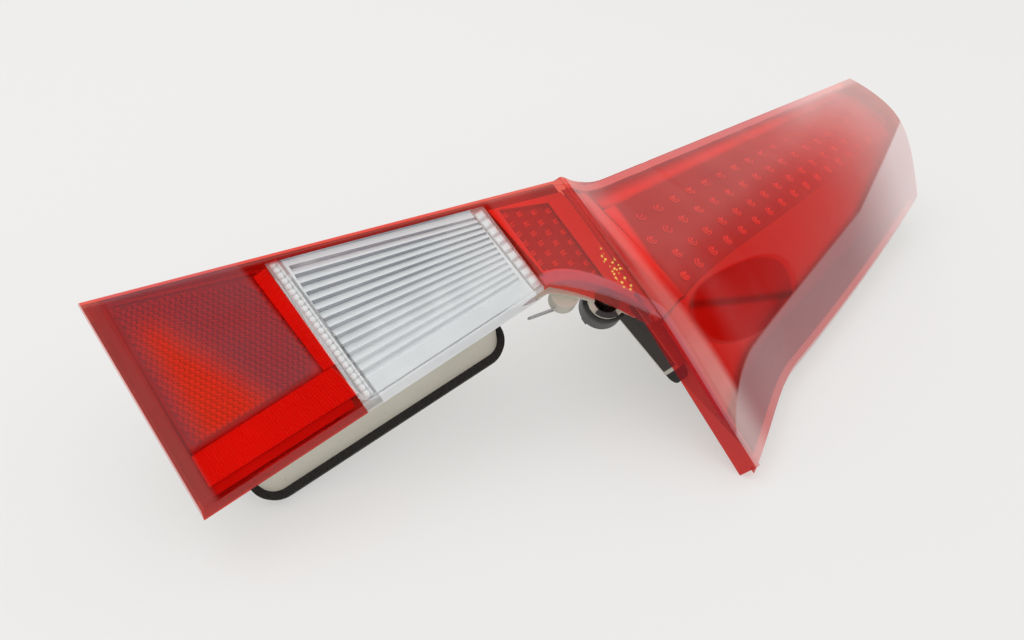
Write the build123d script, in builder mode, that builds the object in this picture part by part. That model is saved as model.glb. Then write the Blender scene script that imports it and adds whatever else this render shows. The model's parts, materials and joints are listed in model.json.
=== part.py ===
from build123d import *
import os

# Rear lamp of an estate car, right-hand side, lying on its back with the lens up.
# It is drawn about its lens: x runs up the lamp from the shoulder crease, y towards the
# middle of the car and z out of the lower lens. At the end the finished pieces are set
# down on the three points that the lamp rests on. Millimetres and degrees.

# Lower lens
lens_wall = 3.0
lower_length = 274.0
inner_lean = 82.0
outer_reach_bottom = 54.0
outer_reach_waist = 51.5
waist_height = 45.0
return_wall = 11.0
wall_flare = 3.5
edge_round = 2.0
through = 70.0

# Shoulder
shoulder_reach = 108.0
waist_bulge = 11.5
waist_skew = 0.35
tip_reach = 211.0
tip_drop = 20.0
ridge_proud = 1.0
ridge_fullness = 0.5
strip_height = 12.0
strip_lean = 7.0
strip_overlap = 8.0
strip_middle = 155.0

# Blade
blade_length = 357.0
blade_end_slant = 0.161
blade_root_reach = 190.0
blade_top_reach = 131.0
blade_bow = 0.4
blade_inner_lean = 0.036
inner_drop = 31.0
inner_rake = 0.368
outer_drop = 29.5
outer_rake = 0.409
crown_root = 34.0
crown_top = 27.0
blade_fullness = 0.68
blade_leg = 12.0
blade_lip = 9.0
crown_sweep = 60.0
inner_sweep = 45.0
outer_sweep = 90.0
sweep_spans = 9
straight_spans = 3
band_spans = 4

# Windows in the lower lens
seam_low = 175.0
seam_high = 50.0
seam_slant = 0.06
window_margin = 4.5
seam_gap = 0.15
flute_count = 13
flute_share = 0.48
flute_rise = 0.45
flute_lean = 0.22
flute_root = 0.5
flute_margin = 9.0
flute_end = 8.0
groove_reach = 41.0
groove_width = 2.0
groove_depth = 1.0

# Optics behind the lenses
fit_gap = 0.3
optic_wall = 3.0
reflex_low = 263.0
reflex_high = 182.0
reflex_reach = 24.0
reflex_margin = 6.0
reflex_corner = 14.0
shoulder_optic_wall = 4.0
shoulder_optic_corners = ((-45.0, 6.0), (-12.0, -9.5), (-12.0, -67.0), (-44.0, -45.0))
shoulder_rows = 4
shoulder_columns = 7
dot_size = 5.0
dot_tip = 0.8
dot_height = 2.4
dot_sink = 0.9
dot_pitch = 17.3
dot_start = 36.2
dot_shares = (0.21, 0.30, 0.39, 0.465)
optic_inset = 7.5
optic_start = 24.0
optic_end = 330.0
optic_spans = 6
optic_shares = (0.12, 0.51)
cup_centre = (75.0, -124.0, -49.0)
cup_slope = (0.468, -0.256)
cup_half_length = 54.0
cup_half_width = 29.0
cup_foot_radius = 16.0

# Lower housing
housing_wall = 2.5
flange_wall = 3.0
flange_ledge = 2.0
flange_end = 1.8
strip_clearance = 9.0
strip_start = 88.0
box_low = 250.0
box_high = 80.0
box_outer_reach = 54.0
box_flare = 8.0
box_inner_inset = 8.0
box_corner = 12.0
box_depth = 44.0
partition_place = 176.0
partition = 3.0
boss_place = (-36.0, -60.0)
boss_radius = 9.0
boss_height = 14.0
pod_radius = 12.0
pod_depth = 16.0

# Upper housing
upper_start = 5.0
upper_end = 352.5
upper_sweep_spans = 5
rim_depth_inner = 7.0
rim_depth_outer = 6.0
upper_depth_inner = 45.0
upper_depth_outer = 20.0
upper_inner_inset = 4.0
back_root_reach = 138.0
back_top_reach = 112.0
pad_proud = 1.5
pad_margin = 3.0
apron_front = -1.5
apron_inner_reach = 12.0
apron_outer_reach = 136.0
apron_top_inner = 17.0
apron_top_outer = 22.0
apron_foot_inner = 74.0
apron_foot_outer = 50.0
post_radius = 3.0
optic_post_height = 46.0
optic_post_shares = (0.18, 0.46)

# Gaskets
gasket_proud = 5.0
gasket_width = 13.0
gasket_thickness = 7.0
upper_gasket_start = 7.0
upper_gasket_end = 52.0
upper_gasket_width = 9.0
upper_gasket_inset = 2.0
upper_gasket_thickness = 12.0

# Reflector trays
tray_wall = 1.5
tray_gap = 0.6
tray_depth = 25.0
tray_slope = 11.0
tray_rim = 1.2
tray_rim_reach = 1.3
carrier_drop = 42.0
carrier_start = 118.0
carrier_end = 318.0
carrier_spans = 4
carrier_shares = (0.15, 0.66)
carrier_post_heights = (136.0, 302.0)
carrier_post_shares = (0.22, 0.60)
pillar_heights = (150.0, 288.0)
pillar_shares = (0.20, 0.52)

# Wedge bulbs and twist-in sockets
bulb_radius = 7.5
bulb_length = 27.0
small_bulb_radius = 5.0
small_bulb_length = 18.0
bulb_dome = 0.9
bulb_base_width = 9.5
bulb_base_wall = 4.6
bulb_base_length = 9.0
bulb_fit = 0.2
bulb_clearance = 1.5
socket_radius = 11.0
socket_flange_radius = 15.0
socket_barrel = 9.0
small_socket_radius = 8.2
small_socket_flange_radius = 13.0
small_socket_barrel = 4.0
socket_fit = 0.3
socket_flange = 4.0
socket_back = 10.0
socket_back_inset = 1.0
grip_wall = 5.0
grip_inset = 2.0
seal_thickness = 1.2
seal_inset = 1.0
terminal_width = 2.8
terminal_wall = 0.8
terminal_length = 8.0
terminal_grip = 4.0
terminal_pitch = 7.0
terminal_fit = 0.1
fog_place = (-213.0, 8.0)
reverse_place = (-152.0, -10.0)
indicator_place = (-112.0, -14.0)
stop_place = (-16.5, -77.0)
tail_place = (205.0, -66.0)
side_place = (70.0, -115.0)

# Fixings and small parts
stud_radius = 3.0
stud_length = 28.0
top_stud_length = 46.0
stud_chamfer = 0.6
collar_radius = 6.0
collar_height = 4.0
collar_fit = 0.1
stud_neck = 0.3
lower_stud_places = ((-234.0, 40.0), (-128.0, 13.0))
top_stud_place = (316.0, -80.0)
clip_wire = 0.6
clip_bend = 1.8
clip_points = ((-45.3, -63.0, -20.0), (-62.0, -59.0, -22.0), (-62.0, -59.0, -26.0), (-45.3, -63.0, -26.0))
breather_place = (-182.0, -36.0)
breather_radius = 5.0
breather_height = 6.0
breather_stem_radius = 3.0
breather_stem = 1.5

# Height from which the blade runs straight
blade_foot = max(crown_sweep, inner_sweep, outer_sweep)


def eased(x, length):
    """Share of a concave sweep that leaves the crease at once and runs out after a length."""
    left = 1 - min(x / length, 1.0)
    return 1 - left * left


def rolled(x, length):
    """Share of a sweep that first rolls over the crease and then runs out after a length."""
    done = min(x / length, 1.0)
    return done * done * (3 - 2 * done)


def straight_reach(x):
    """Reach of the blade's outer edge at height x, without the flare to the shoulder's tip."""
    rise = x / blade_length
    taper = (1 - blade_bow) * rise + blade_bow * rise * rise
    return blade_root_reach - (blade_root_reach - blade_top_reach) * taper


def blade_point(x, along, inset=0.0):
    """Point of the blade's face, as (y, z), at height x and a share of the way outwards."""
    rise = x / blade_length
    inner_share = eased(x, inner_sweep)
    inner_y = -blade_inner_lean * x + ridge_proud * (1 - inner_share)
    inner_z = ridge_proud - inner_share * (inner_drop + inner_rake * x + ridge_proud)
    outer_share = eased(x, outer_sweep)
    outer_y = -(tip_reach + outer_share * (straight_reach(x) - tip_reach))
    outer_z = -tip_drop - outer_share * (outer_drop + outer_rake * x - tip_drop)
    crown_share = rolled(x, crown_sweep)
    straight_chord = -(inner_drop + outer_drop + (inner_rake + outer_rake) * x) / 2
    straight_crown = straight_chord + crown_root - (crown_root - crown_top) * rise
    crown_z = ridge_proud + crown_share * (straight_crown - ridge_proud)
    crown = crown_z - (inner_z + outer_z) / 2
    fullness = ridge_fullness + (blade_fullness - ridge_fullness) * crown_share
    side = 1 - abs(2 * along - 1)
    bulge = (4 * fullness - 1) * side + (2 - 4 * fullness) * side * side
    y = inner_y - inset + along * (outer_y - inner_y + 2 * inset)
    z = inner_z + along * (outer_z - inner_z) + bulge * crown - inset
    return y, z


def end_plane(x):
    """Slanted plane of the blade's top end, through height x."""
    return Plane(origin=(x, 0, 0), x_dir=(blade_end_slant, 1, 0), z_dir=(1, -blade_end_slant, 0))


def blade_plane(x):
    """Plane of the cross-section at height x: the one at the top end is slanted."""
    if x < blade_length:
        return Plane.YZ.offset(x)
    return end_plane(x)


def blade_curve(x, inset=0.0):
    """Crowned face of the blade in the cross-section at height x, from inner to outer edge."""
    points = []
    for along in (0.0, 0.25, 0.5, 0.75, 1.0):
        y, z = blade_point(x, along, inset)
        if x >= blade_length:
            y, z = blade_point(x + blade_end_slant * y, along, inset)
            y *= (1 + blade_end_slant**2) ** 0.5
        points.append((y, z))
    return points


def even_heights(start, end, spans):
    """Evenly spaced heights from start to end, for sections that a smooth loft runs through."""
    return [start + (end - start) * step / spans for step in range(spans + 1)]


def blade_skin_section(x):
    """Thin hat-shaped section of the lens at height x: face, inner leg and outer lip."""
    face = blade_curve(x)
    back = blade_curve(x, lens_wall)
    inner_foot = (face[0][0] + wall_flare, face[0][1] - blade_leg)
    outer_foot = (face[-1][0] - wall_flare, face[-1][1] - blade_lip)
    with BuildSketch(blade_plane(x)) as section:
        with BuildLine():
            Line(inner_foot, face[0])
            Spline(*face)
            Polyline(face[-1], outer_foot, (outer_foot[0] + lens_wall, outer_foot[1]), back[-1])
            Spline(*reversed(back))
            Polyline(back[0], (inner_foot[0] - lens_wall, inner_foot[1]), inner_foot)
        make_face()
    return section.sketch


def blade_end_section():
    """Filled section of the blade's slanted top end."""
    face = blade_curve(blade_length)
    inner_foot = (face[0][0] + wall_flare, face[0][1] - blade_leg)
    outer_foot = (face[-1][0] - wall_flare, face[-1][1] - blade_lip)
    with BuildSketch(blade_plane(blade_length)) as section:
        with BuildLine():
            Spline(*face)
            Polyline(face[-1], outer_foot, inner_foot, face[0])
        make_face()
    return section.sketch


def blade_band(start, end, spans, shares, top, foot):
    """Layer under the blade's face, between two depths and between two shares of its width."""
    sections = []
    for x in even_heights(start, end, spans):
        upper = []
        lower = []
        for along in even_heights(shares[0], shares[1], band_spans):
            y, z = blade_point(x, along)
            upper.append((y, z - top))
            lower.append((y, z - foot))
        with BuildSketch(Plane.YZ.offset(x)) as section:
            with BuildLine():
                Spline(*upper)
                Line(upper[-1], lower[-1])
                Spline(*reversed(lower))
                Line(lower[0], upper[0])
            make_face()
        sections.append(section.sketch)
    with BuildPart() as band:
        loft(sections)
    return band.part


def blade_places(heights, shares):
    """Places on the blade, as (x, y), at some heights and shares of its width."""
    return [(x, blade_point(x, along)[0]) for x in heights for along in shares]


def blade_posts(places):
    """Round posts right through the blade, to be trimmed where they end."""
    with BuildPart() as posts:
        with BuildSketch(Plane.XY.offset(-blade_length)):
            with Locations(*places):
                Circle(post_radius)
        extrude(amount=2 * blade_length)
    return posts.part


def inner_edge(x):
    """Inner edge of the lower lens at height x."""
    return -x / lower_length * inner_lean


def lower_outline(z, grow=0.0):
    """Outline of the lower lens, with the concave waist, grown outwards and set at height z."""
    waist = (-waist_height, -outer_reach_waist)
    shoulder = (0, -shoulder_reach)
    middle = (
        (waist[0] + shoulder[0]) / 2 - waist_bulge * waist_skew,
        (waist[1] + shoulder[1]) / 2 + waist_bulge,
    )
    with BuildSketch(Plane.XY.offset(z)) as outline:
        with BuildLine():
            Polyline(
                (lens_wall, inner_edge(lens_wall)),
                (-lower_length, inner_lean),
                (-lower_length, -outer_reach_bottom),
                waist,
            )
            ThreePointArc(waist, middle, shoulder)
            Polyline(shoulder, (lens_wall, -shoulder_reach), (lens_wall, inner_edge(lens_wall)))
        make_face()
        if grow:
            offset(amount=grow, kind=Kind.INTERSECTION)
    return outline.sketch


def lower_tray():
    """Lower lens as one open tray: flat face, rounded edge and flared return wall."""
    slope = wall_flare / return_wall
    with BuildPart() as tray:
        loft([lower_outline(-return_wall, wall_flare), lower_outline(0)], ruled=True)
        fillet(tray.edges().group_by(Axis.Z)[-1], radius=edge_round)
        foot = -return_wall - lens_wall
        loft(
            [
                lower_outline(foot, -foot * slope - lens_wall),
                lower_outline(-lens_wall, lens_wall * slope - lens_wall),
            ],
            ruled=True,
            mode=Mode.SUBTRACT,
        )
    return tray.part


def window_plan(gap=0.0):
    """Plan of the clear section, from the inner strip out past the outer wall."""
    low = -seam_low + gap
    high = -seam_high - gap
    far = 2 * outer_reach_bottom
    with BuildSketch(Plane.XY.offset(-through / 2)) as plan:
        with BuildLine():
            Polyline(
                (low - seam_slant * inner_edge(low), inner_edge(low) - window_margin - gap),
                (high - seam_slant * inner_edge(high), inner_edge(high) - window_margin - gap),
                (high + seam_slant * outer_reach_waist, -far),
                (low + seam_slant * outer_reach_waist, -far),
                close=True,
            )
        make_face()
    return plan.sketch


def ridge_height(reach):
    """Height of the shoulder crease at a reach between the waist and the tip."""
    return -tip_drop * (reach - shoulder_reach) / (tip_reach - shoulder_reach)


def strip_section(reach):
    """Leaning wall under the shoulder crease, at a distance out along the shoulder."""
    top = ridge_height(reach)
    with BuildSketch(Plane.XZ.offset(reach)) as section:
        with BuildLine():
            Polyline(
                (0, top),
                (lens_wall, top),
                (lens_wall - strip_lean, top - strip_height),
                (-strip_lean, top - strip_height),
                close=True,
            )
        make_face()
    return section.sketch


def box_reach(z):
    """Reach of the box's outer wall at height z: it flares out from the flange to the back."""
    top = -return_wall - flange_wall
    return box_outer_reach + box_flare * (top - z) / (box_depth + top)


def box_plan(z, grow=0.0):
    """Plan of the lower housing's box, grown outwards and set at height z."""
    with BuildSketch(Plane.XY.offset(z)) as plan:
        with BuildLine():
            Polyline(
                (-box_low, inner_edge(-box_low) - box_inner_inset),
                (-box_high, inner_edge(-box_high) - box_inner_inset),
                (-box_high, -box_reach(z)),
                (-box_low, -box_reach(z)),
                close=True,
            )
        make_face()
        fillet(plan.vertices(), radius=box_corner)
        if grow:
            offset(amount=grow)
    return plan.sketch


def cell_plan(low, high, z, inset=0.0):
    """Plan of one light chamber of the lower housing, between two heights up the lamp."""
    inner_wall = box_inner_inset + housing_wall
    with BuildSketch(Plane.XY.offset(z)) as plan:
        with BuildLine():
            Polyline(
                (low, inner_edge(low) - inner_wall),
                (high, inner_edge(high) - inner_wall),
                (high, -box_reach(z) + housing_wall),
                (low, -box_reach(z) + housing_wall),
                close=True,
            )
        make_face()
        fillet(plan.vertices(), radius=box_corner - housing_wall)
        if inset:
            offset(amount=-inset)
    return plan.sketch


fog_cell = (-box_low + housing_wall, -partition_place - partition / 2)
reverse_cell = (-partition_place + partition / 2, -box_high - housing_wall)


def reflector_tray(cell, bulb_places):
    """Metallised tray in one chamber: rim on the flange, sloping walls, holes for the bulbs."""
    low, high = cell
    top = -return_wall
    foot = top - tray_depth
    lean = tray_slope / tray_depth
    with BuildPart() as tray:
        loft(
            [cell_plan(low, high, foot, tray_gap + tray_slope), cell_plan(low, high, top, tray_gap)],
            ruled=True,
        )
        extrude(cell_plan(low, high, top, -tray_rim_reach), amount=tray_rim)
        inside = tray_gap + tray_wall
        loft(
            [
                cell_plan(low, high, foot + tray_wall, inside + tray_slope - tray_wall * lean),
                cell_plan(low, high, top + tray_rim, inside - tray_rim * lean),
            ],
            ruled=True,
            mode=Mode.SUBTRACT,
        )
        with BuildSketch(Plane.XY.offset(foot)):
            with Locations(*bulb_places):
                Circle(bulb_radius + bulb_clearance)
        extrude(amount=tray_depth, mode=Mode.SUBTRACT)
    return tray.part


def back_corners(x):
    """Inner and outer corner of the upper housing's back, as (y, z), at height x."""
    inner_y = -blade_inner_lean * x - lens_wall - fit_gap - upper_inner_inset
    inner_z = -(inner_drop + inner_rake * x) - upper_depth_inner
    outer_y = -(back_root_reach - (back_root_reach - back_top_reach) * x / blade_length)
    outer_z = -(outer_drop + outer_rake * x) - upper_depth_outer
    return (inner_y, inner_z), (outer_y, outer_z)


def upper_corners(x, inset):
    """Corners of the upper housing's section, as (y, z), at height x: back, then rims."""
    (inner_y, inner_z), (outer_y, outer_z) = back_corners(x)
    rim_inner = blade_point(x, 0.0)
    rim_outer = blade_point(x, 1.0)
    side = lens_wall + fit_gap + inset
    return [
        (inner_y - inset, inner_z + inset),
        (outer_y + inset, outer_z + inset),
        (rim_outer[0] + side, rim_outer[1] - rim_depth_outer),
        (rim_inner[0] - side, rim_inner[1] - rim_depth_inner),
    ]


def upper_section(x, inset, slanted):
    """Section of the upper housing, or of its inside, which stays open towards the lens."""
    corners = upper_corners(x, inset)
    if slanted:
        stretch = (1 + blade_end_slant**2) ** 0.5
        shifted = []
        for index, (y, z) in enumerate(corners):
            y, z = upper_corners(x + blade_end_slant * y, inset)[index]
            shifted.append((y * stretch, z))
        corners = shifted
    if inset:
        outer_rim, inner_rim = corners[2], corners[3]
        corners[3:3] = [
            (outer_rim[0], outer_rim[1] + upper_depth_outer),
            (inner_rim[0], inner_rim[1] + upper_depth_outer),
        ]
    with BuildSketch(end_plane(x) if slanted else Plane.YZ.offset(x)) as section:
        with BuildLine():
            Polyline(*corners, close=True)
        make_face()
    return section.sketch


def upper_body(inset=0.0):
    """Body of the upper housing, or its inside when it is inset by the wall."""
    low = even_heights(upper_start + inset, blade_foot, upper_sweep_spans)
    high = even_heights(blade_foot, upper_end - inset, straight_spans)
    with BuildPart() as body:
        loft([upper_section(x, inset, False) for x in low])
        loft([upper_section(x, inset, x == high[-1]) for x in high])
    return body.part


def back_height(x, y):
    """Height of the upper housing's back at a place."""
    (inner_y, inner_z), (outer_y, outer_z) = back_corners(x)
    return inner_z + (y - inner_y) / (outer_y - inner_y) * (outer_z - inner_z)


def upper_seat(place):
    """Plane of a flat pad on the upper housing's back, square to the back at that place."""
    x, y = place
    step = 1.0
    slope_x = (back_height(x + step, y) - back_height(x - step, y)) / (2 * step)
    slope_y = (back_height(x, y + step) - back_height(x, y - step)) / (2 * step)
    back = Plane(origin=(x, y, back_height(x, y)), x_dir=(1, 0, slope_x), z_dir=(-slope_x, -slope_y, 1))
    return back.offset(-pad_proud)


def lower_seat(place, z=-box_depth):
    """Plane of the lower housing's back at a place."""
    return Plane(origin=(place[0], place[1], z))


pod_seat_height = -return_wall - flange_wall - pod_depth
fog_seat = lower_seat(fog_place)
reverse_seat = lower_seat(reverse_place)
indicator_seat = lower_seat(indicator_place)
stop_seat = lower_seat(stop_place, pod_seat_height)
tail_seat = upper_seat(tail_place)
side_seat = upper_seat(side_place)
top_stud_seat = upper_seat(top_stud_place)
large_seats = (fog_seat, reverse_seat, indicator_seat, tail_seat, side_seat)
stud_seats = [lower_seat(place) for place in lower_stud_places]
pad_height = 2 * pad_proud + housing_wall


def bulb_socket(seat, radius, flange_radius, barrel):
    """Twist-in socket under a seat: barrel, flange, back with grip wings, slots for base and blades."""
    flange_top = seat.offset(-seal_thickness)
    back_top = seat.offset(-seal_thickness - socket_flange)
    back_end = seat.offset(-seal_thickness - socket_flange - socket_back)
    with BuildPart() as body:
        with BuildSketch(flange_top):
            Circle(flange_radius)
        extrude(amount=-socket_flange)
        with BuildSketch(flange_top):
            Circle(radius)
        extrude(amount=barrel)
        with BuildSketch(back_top):
            Circle(radius - socket_back_inset)
            Rectangle(2 * (flange_radius - grip_inset), grip_wall)
        extrude(amount=-socket_back)
        with BuildSketch(flange_top.offset(barrel)):
            Rectangle(bulb_base_width + 2 * bulb_fit, bulb_base_wall + 2 * bulb_fit)
        extrude(amount=-bulb_base_length - bulb_fit, mode=Mode.SUBTRACT)
        with BuildSketch(back_end):
            with GridLocations(0, terminal_pitch, 1, 2):
                Rectangle(terminal_width + 2 * terminal_fit, terminal_wall + 2 * terminal_fit)
        extrude(amount=terminal_grip, mode=Mode.SUBTRACT)
    return body.part


def wedge_bulb(seat, radius, length, barrel):
    """Wedge-base bulb, glass and base in one, standing in its socket."""
    foot = seat.offset(barrel - seal_thickness)
    with BuildPart() as bulb:
        with BuildSketch(foot):
            Circle(radius)
        extrude(amount=length)
        fillet(bulb.edges().sort_by(Axis(foot.origin, foot.z_dir))[-1], radius=radius * bulb_dome)
        with BuildSketch(foot):
            Rectangle(bulb_base_width, bulb_base_wall)
        extrude(amount=-bulb_base_length)
    return bulb.part


def flat_ring(seat, outer, inner, thickness):
    """Flat ring that lies under a seat."""
    with BuildPart() as ring:
        with BuildSketch(seat):
            Circle(outer)
            Circle(inner, mode=Mode.SUBTRACT)
        extrude(amount=-thickness)
    return ring.part


# Red lens: lower tray with its window, shoulder strip, blade and the blade's top wall
with BuildPart() as red_lens:
    add(lower_tray())
    extrude(window_plan(), amount=through, mode=Mode.SUBTRACT)
    loft([blade_skin_section(x) for x in even_heights(0, blade_foot, sweep_spans)])
    loft([blade_skin_section(x) for x in even_heights(blade_foot, blade_length, straight_spans)])
    loft([strip_section(reach) for reach in (shoulder_reach - strip_overlap, strip_middle, tip_reach)])
    extrude(blade_end_section(), amount=-lens_wall)

# Clear lens: the same tray inside the window, with a shallow groove and fanned flutes below
flute_low = -seam_low + flute_end
flute_high = -seam_high - flute_end


def flute_places(x):
    """Centres and pitch of the flutes at height x, spread from the inner strip to the groove."""
    first = inner_edge(x) - flute_margin
    pitch = (first + groove_reach) / flute_count
    return [first - pitch * (index + 0.5) for index in range(flute_count)], pitch


def flute_section(x, index):
    """Leaning triangle of one flute at height x, rooted in the lens's wall."""
    centres, pitch = flute_places(x)
    root = -lens_wall + flute_root
    with BuildSketch(Plane.YZ.offset(x)) as section:
        with BuildLine():
            Polyline(
                (centres[index] - flute_share * pitch, root),
                (centres[index] + flute_lean * pitch, -lens_wall - flute_rise * pitch),
                (centres[index] + flute_share * pitch, root),
                close=True,
            )
        make_face()
    return section.sketch


with BuildPart() as clear_lens:
    add(lower_tray())
    extrude(window_plan(seam_gap), amount=through, mode=Mode.INTERSECT)
    with BuildSketch(Plane.XY):
        with Locations(((flute_low + flute_high) / 2, -groove_reach)):
            Rectangle(flute_high - flute_low, groove_width)
    extrude(amount=-groove_depth, mode=Mode.SUBTRACT)
    for index in range(flute_count):
        loft([flute_section(x, index) for x in (flute_low, flute_high)], ruled=True)

# Reflex reflector: plate against the lower red cell, one corner rounded
with BuildPart() as reflex_reflector:
    with BuildSketch(Plane.XY.offset(-lens_wall)) as reflex_plan:
        with BuildLine():
            Polyline(
                (-reflex_low, inner_edge(-reflex_low) - reflex_margin),
                (-reflex_high, inner_edge(-reflex_high) - reflex_margin),
                (-reflex_high, -reflex_reach),
                (-reflex_low, -reflex_reach),
                close=True,
            )
        make_face()
        fillet(reflex_plan.vertices().sort_by_distance((-reflex_high, -reflex_reach, 0))[0], reflex_corner)
    extrude(amount=-optic_wall)

# Shoulder optic: plate on the flange behind the shoulder cell, with pyramid dots
shoulder_dots = []
near_low, near_high, far_high, far_low = shoulder_optic_corners
for row in range(shoulder_rows):
    up = (row + 0.5) / shoulder_rows
    for column in range(shoulder_columns):
        out = (column + 0.5) / shoulder_columns
        near = [near_low[axis] + up * (near_high[axis] - near_low[axis]) for axis in (0, 1)]
        far = [far_low[axis] + up * (far_high[axis] - far_low[axis]) for axis in (0, 1)]
        place = [near[axis] + out * (far[axis] - near[axis]) for axis in (0, 1)]
        shoulder_dots.append((place[0], place[1], -return_wall + shoulder_optic_wall))

dot_low = (dot_size - dot_tip) / 2
dot_high = (dot_size + dot_tip) / 2
dot_rise = dot_height / 2 - dot_sink

with BuildPart() as shoulder_optic:
    with BuildSketch(Plane.XY.offset(-return_wall)):
        with BuildLine():
            Polyline(*shoulder_optic_corners, close=True)
        make_face()
    extrude(amount=shoulder_optic_wall)
    with Locations(*[(x, y, z + dot_rise) for x, y, z in shoulder_dots]):
        Wedge(
            dot_size, dot_height, dot_size, dot_low, dot_low, dot_high, dot_high, rotation=(90, 0, 0)
        )

# Blade optic: long curved panel under the blade's face, with rows of pyramid dots
blade_dots = []
dot_count = int((optic_end - dot_start) / dot_pitch)
for row, share in enumerate(dot_shares):
    row_start = dot_start + dot_pitch / 2 * ((row + 1) % 2)
    for step in range(dot_count):
        dot_x = row_start + step * dot_pitch
        dot_y, dot_z = blade_point(dot_x, share)
        blade_dots.append((dot_x, dot_y, dot_z - optic_inset))

with BuildPart() as blade_optic:
    add(blade_band(optic_start, optic_end, optic_spans, optic_shares, optic_inset, optic_inset + optic_wall))
    with Locations(*[(x, y, z + dot_rise) for x, y, z in blade_dots]):
        Wedge(
            dot_size, dot_height, dot_size, dot_low, dot_low, dot_high, dot_high, rotation=(90, 0, 0)
        )

# Side cup: oval bowl behind the blade's smooth side, standing on the side socket's pad
cup_rim = Plane(origin=cup_centre, x_dir=(1, 0, -cup_slope[0]), z_dir=(cup_slope[0], cup_slope[1], 1))
cup_foot = side_seat.offset(pad_height)


def cup_form(inset):
    """Oval bowl between the pad and the rim, inset by its wall for the inside."""
    with BuildSketch(cup_foot.offset(inset)) as foot:
        Circle(cup_foot_radius - inset)
    with BuildSketch(cup_rim) as rim:
        Ellipse(cup_half_length - inset, cup_half_width - inset)
    with BuildPart() as form:
        loft([foot.sketch, rim.sketch])
    return form.part


with BuildPart() as side_cup:
    add(cup_form(0.0))
    add(cup_form(tray_wall), mode=Mode.SUBTRACT)
    with BuildSketch(cup_foot):
        Circle(socket_radius + socket_fit)
    extrude(amount=tray_depth, mode=Mode.SUBTRACT)

# Lower housing: flange under the lens's wall, box with two chambers, boss and socket pod
with BuildPart() as lower_housing:
    flange_foot = -return_wall - flange_wall
    extrude(lower_outline(flange_foot, wall_flare - lens_wall + flange_ledge), amount=flange_wall)
    with BuildSketch(Plane.XY.offset(flange_foot)):
        with Locations((-flange_end, 0)):
            Rectangle(shoulder_reach, 4 * shoulder_reach, align=(Align.MIN, Align.CENTER))
        with Locations((-strip_clearance, -strip_start)):
            Rectangle(shoulder_reach, shoulder_reach, align=(Align.MIN, Align.MAX))
    extrude(amount=flange_wall, mode=Mode.SUBTRACT)
    loft([box_plan(-box_depth), box_plan(flange_foot)], ruled=True)
    for cell in (fog_cell, reverse_cell):
        loft(
            [cell_plan(*cell, -box_depth + housing_wall), cell_plan(*cell, -return_wall)],
            ruled=True,
            mode=Mode.SUBTRACT,
        )
    with BuildSketch(Plane.XY.offset(flange_foot)):
        with Locations(boss_place):
            Circle(boss_radius)
    extrude(amount=-boss_height)
    with BuildSketch(Plane.XY.offset(pod_seat_height)):
        with Locations(stop_place):
            Circle(pod_radius)
    extrude(amount=pod_depth)
    with BuildSketch(Plane.XY.offset(pod_seat_height)):
        with Locations(stop_place):
            Circle(small_socket_radius + socket_fit)
    extrude(amount=pod_depth + flange_wall, mode=Mode.SUBTRACT)
    with BuildSketch(Plane.XY.offset(-box_depth)):
        with Locations(fog_place, reverse_place, indicator_place):
            Circle(socket_radius + socket_fit)
    extrude(amount=housing_wall, mode=Mode.SUBTRACT)

# Upper housing: tapered shell under the blade, apron under the shoulder, pads and posts
with BuildPart() as upper_housing:
    add(upper_body())
    with BuildSketch(Plane.YZ.offset(apron_front)):
        with BuildLine():
            Polyline(
                (-apron_inner_reach, -apron_top_inner),
                (-apron_outer_reach, -apron_top_outer),
                (-apron_outer_reach, -apron_foot_outer),
                (-apron_inner_reach, -apron_foot_inner),
                close=True,
            )
        make_face()
    extrude(amount=upper_start + housing_wall - apron_front)
    add(upper_body(housing_wall), mode=Mode.SUBTRACT)
    with BuildSketch(Plane.YZ.offset(apron_front + housing_wall)):
        with BuildLine():
            Polyline(
                (-apron_inner_reach - housing_wall, -apron_top_inner - housing_wall),
                (-apron_outer_reach + housing_wall, -apron_top_outer - housing_wall),
                (-apron_outer_reach + housing_wall, -apron_foot_outer + housing_wall),
                (-apron_inner_reach - housing_wall, -apron_foot_inner + housing_wall),
                close=True,
            )
        make_face()
    extrude(amount=upper_start + housing_wall - apron_front, mode=Mode.SUBTRACT)
    for seat in (tail_seat, side_seat):
        with BuildSketch(seat):
            Circle(socket_flange_radius + pad_margin)
        extrude(amount=pad_height)
        with BuildSketch(seat):
            Circle(socket_radius + socket_fit)
        extrude(amount=pad_height, mode=Mode.SUBTRACT)
    with BuildSketch(top_stud_seat):
        Circle(collar_radius + pad_margin)
    extrude(amount=pad_height)

carrier_foot = carrier_drop + tray_wall
with BuildPart() as carrier_posts:
    add(blade_posts(blade_places(carrier_post_heights, carrier_post_shares)))
    add(
        blade_band(
            carrier_start,
            carrier_end,
            carrier_spans,
            carrier_shares,
            carrier_foot,
            carrier_foot + blade_length,
        ),
        mode=Mode.INTERSECT,
    )
    add(upper_body(), mode=Mode.INTERSECT)

optic_foot = optic_inset + optic_wall
with BuildPart() as optic_posts:
    add(blade_posts(blade_places((optic_post_height,), optic_post_shares)))
    add(
        blade_band(
            optic_start, optic_end, optic_spans, optic_shares, optic_foot, optic_foot + blade_length
        ),
        mode=Mode.INTERSECT,
    )
    add(upper_body(), mode=Mode.INTERSECT)

with BuildPart() as upper_shell:
    add(upper_housing.part)
    add(carrier_posts.part)
    add(optic_posts.part)

# Blade reflector: curved carrier on the posts, hole for the tail bulb, pillars for the blade optic
with BuildPart() as blade_pillars:
    add(blade_posts(blade_places(pillar_heights, pillar_shares)))
    add(
        blade_band(
            optic_start,
            optic_end,
            optic_spans,
            optic_shares,
            optic_foot,
            carrier_drop + tray_wall / 2,
        ),
        mode=Mode.INTERSECT,
    )

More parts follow.
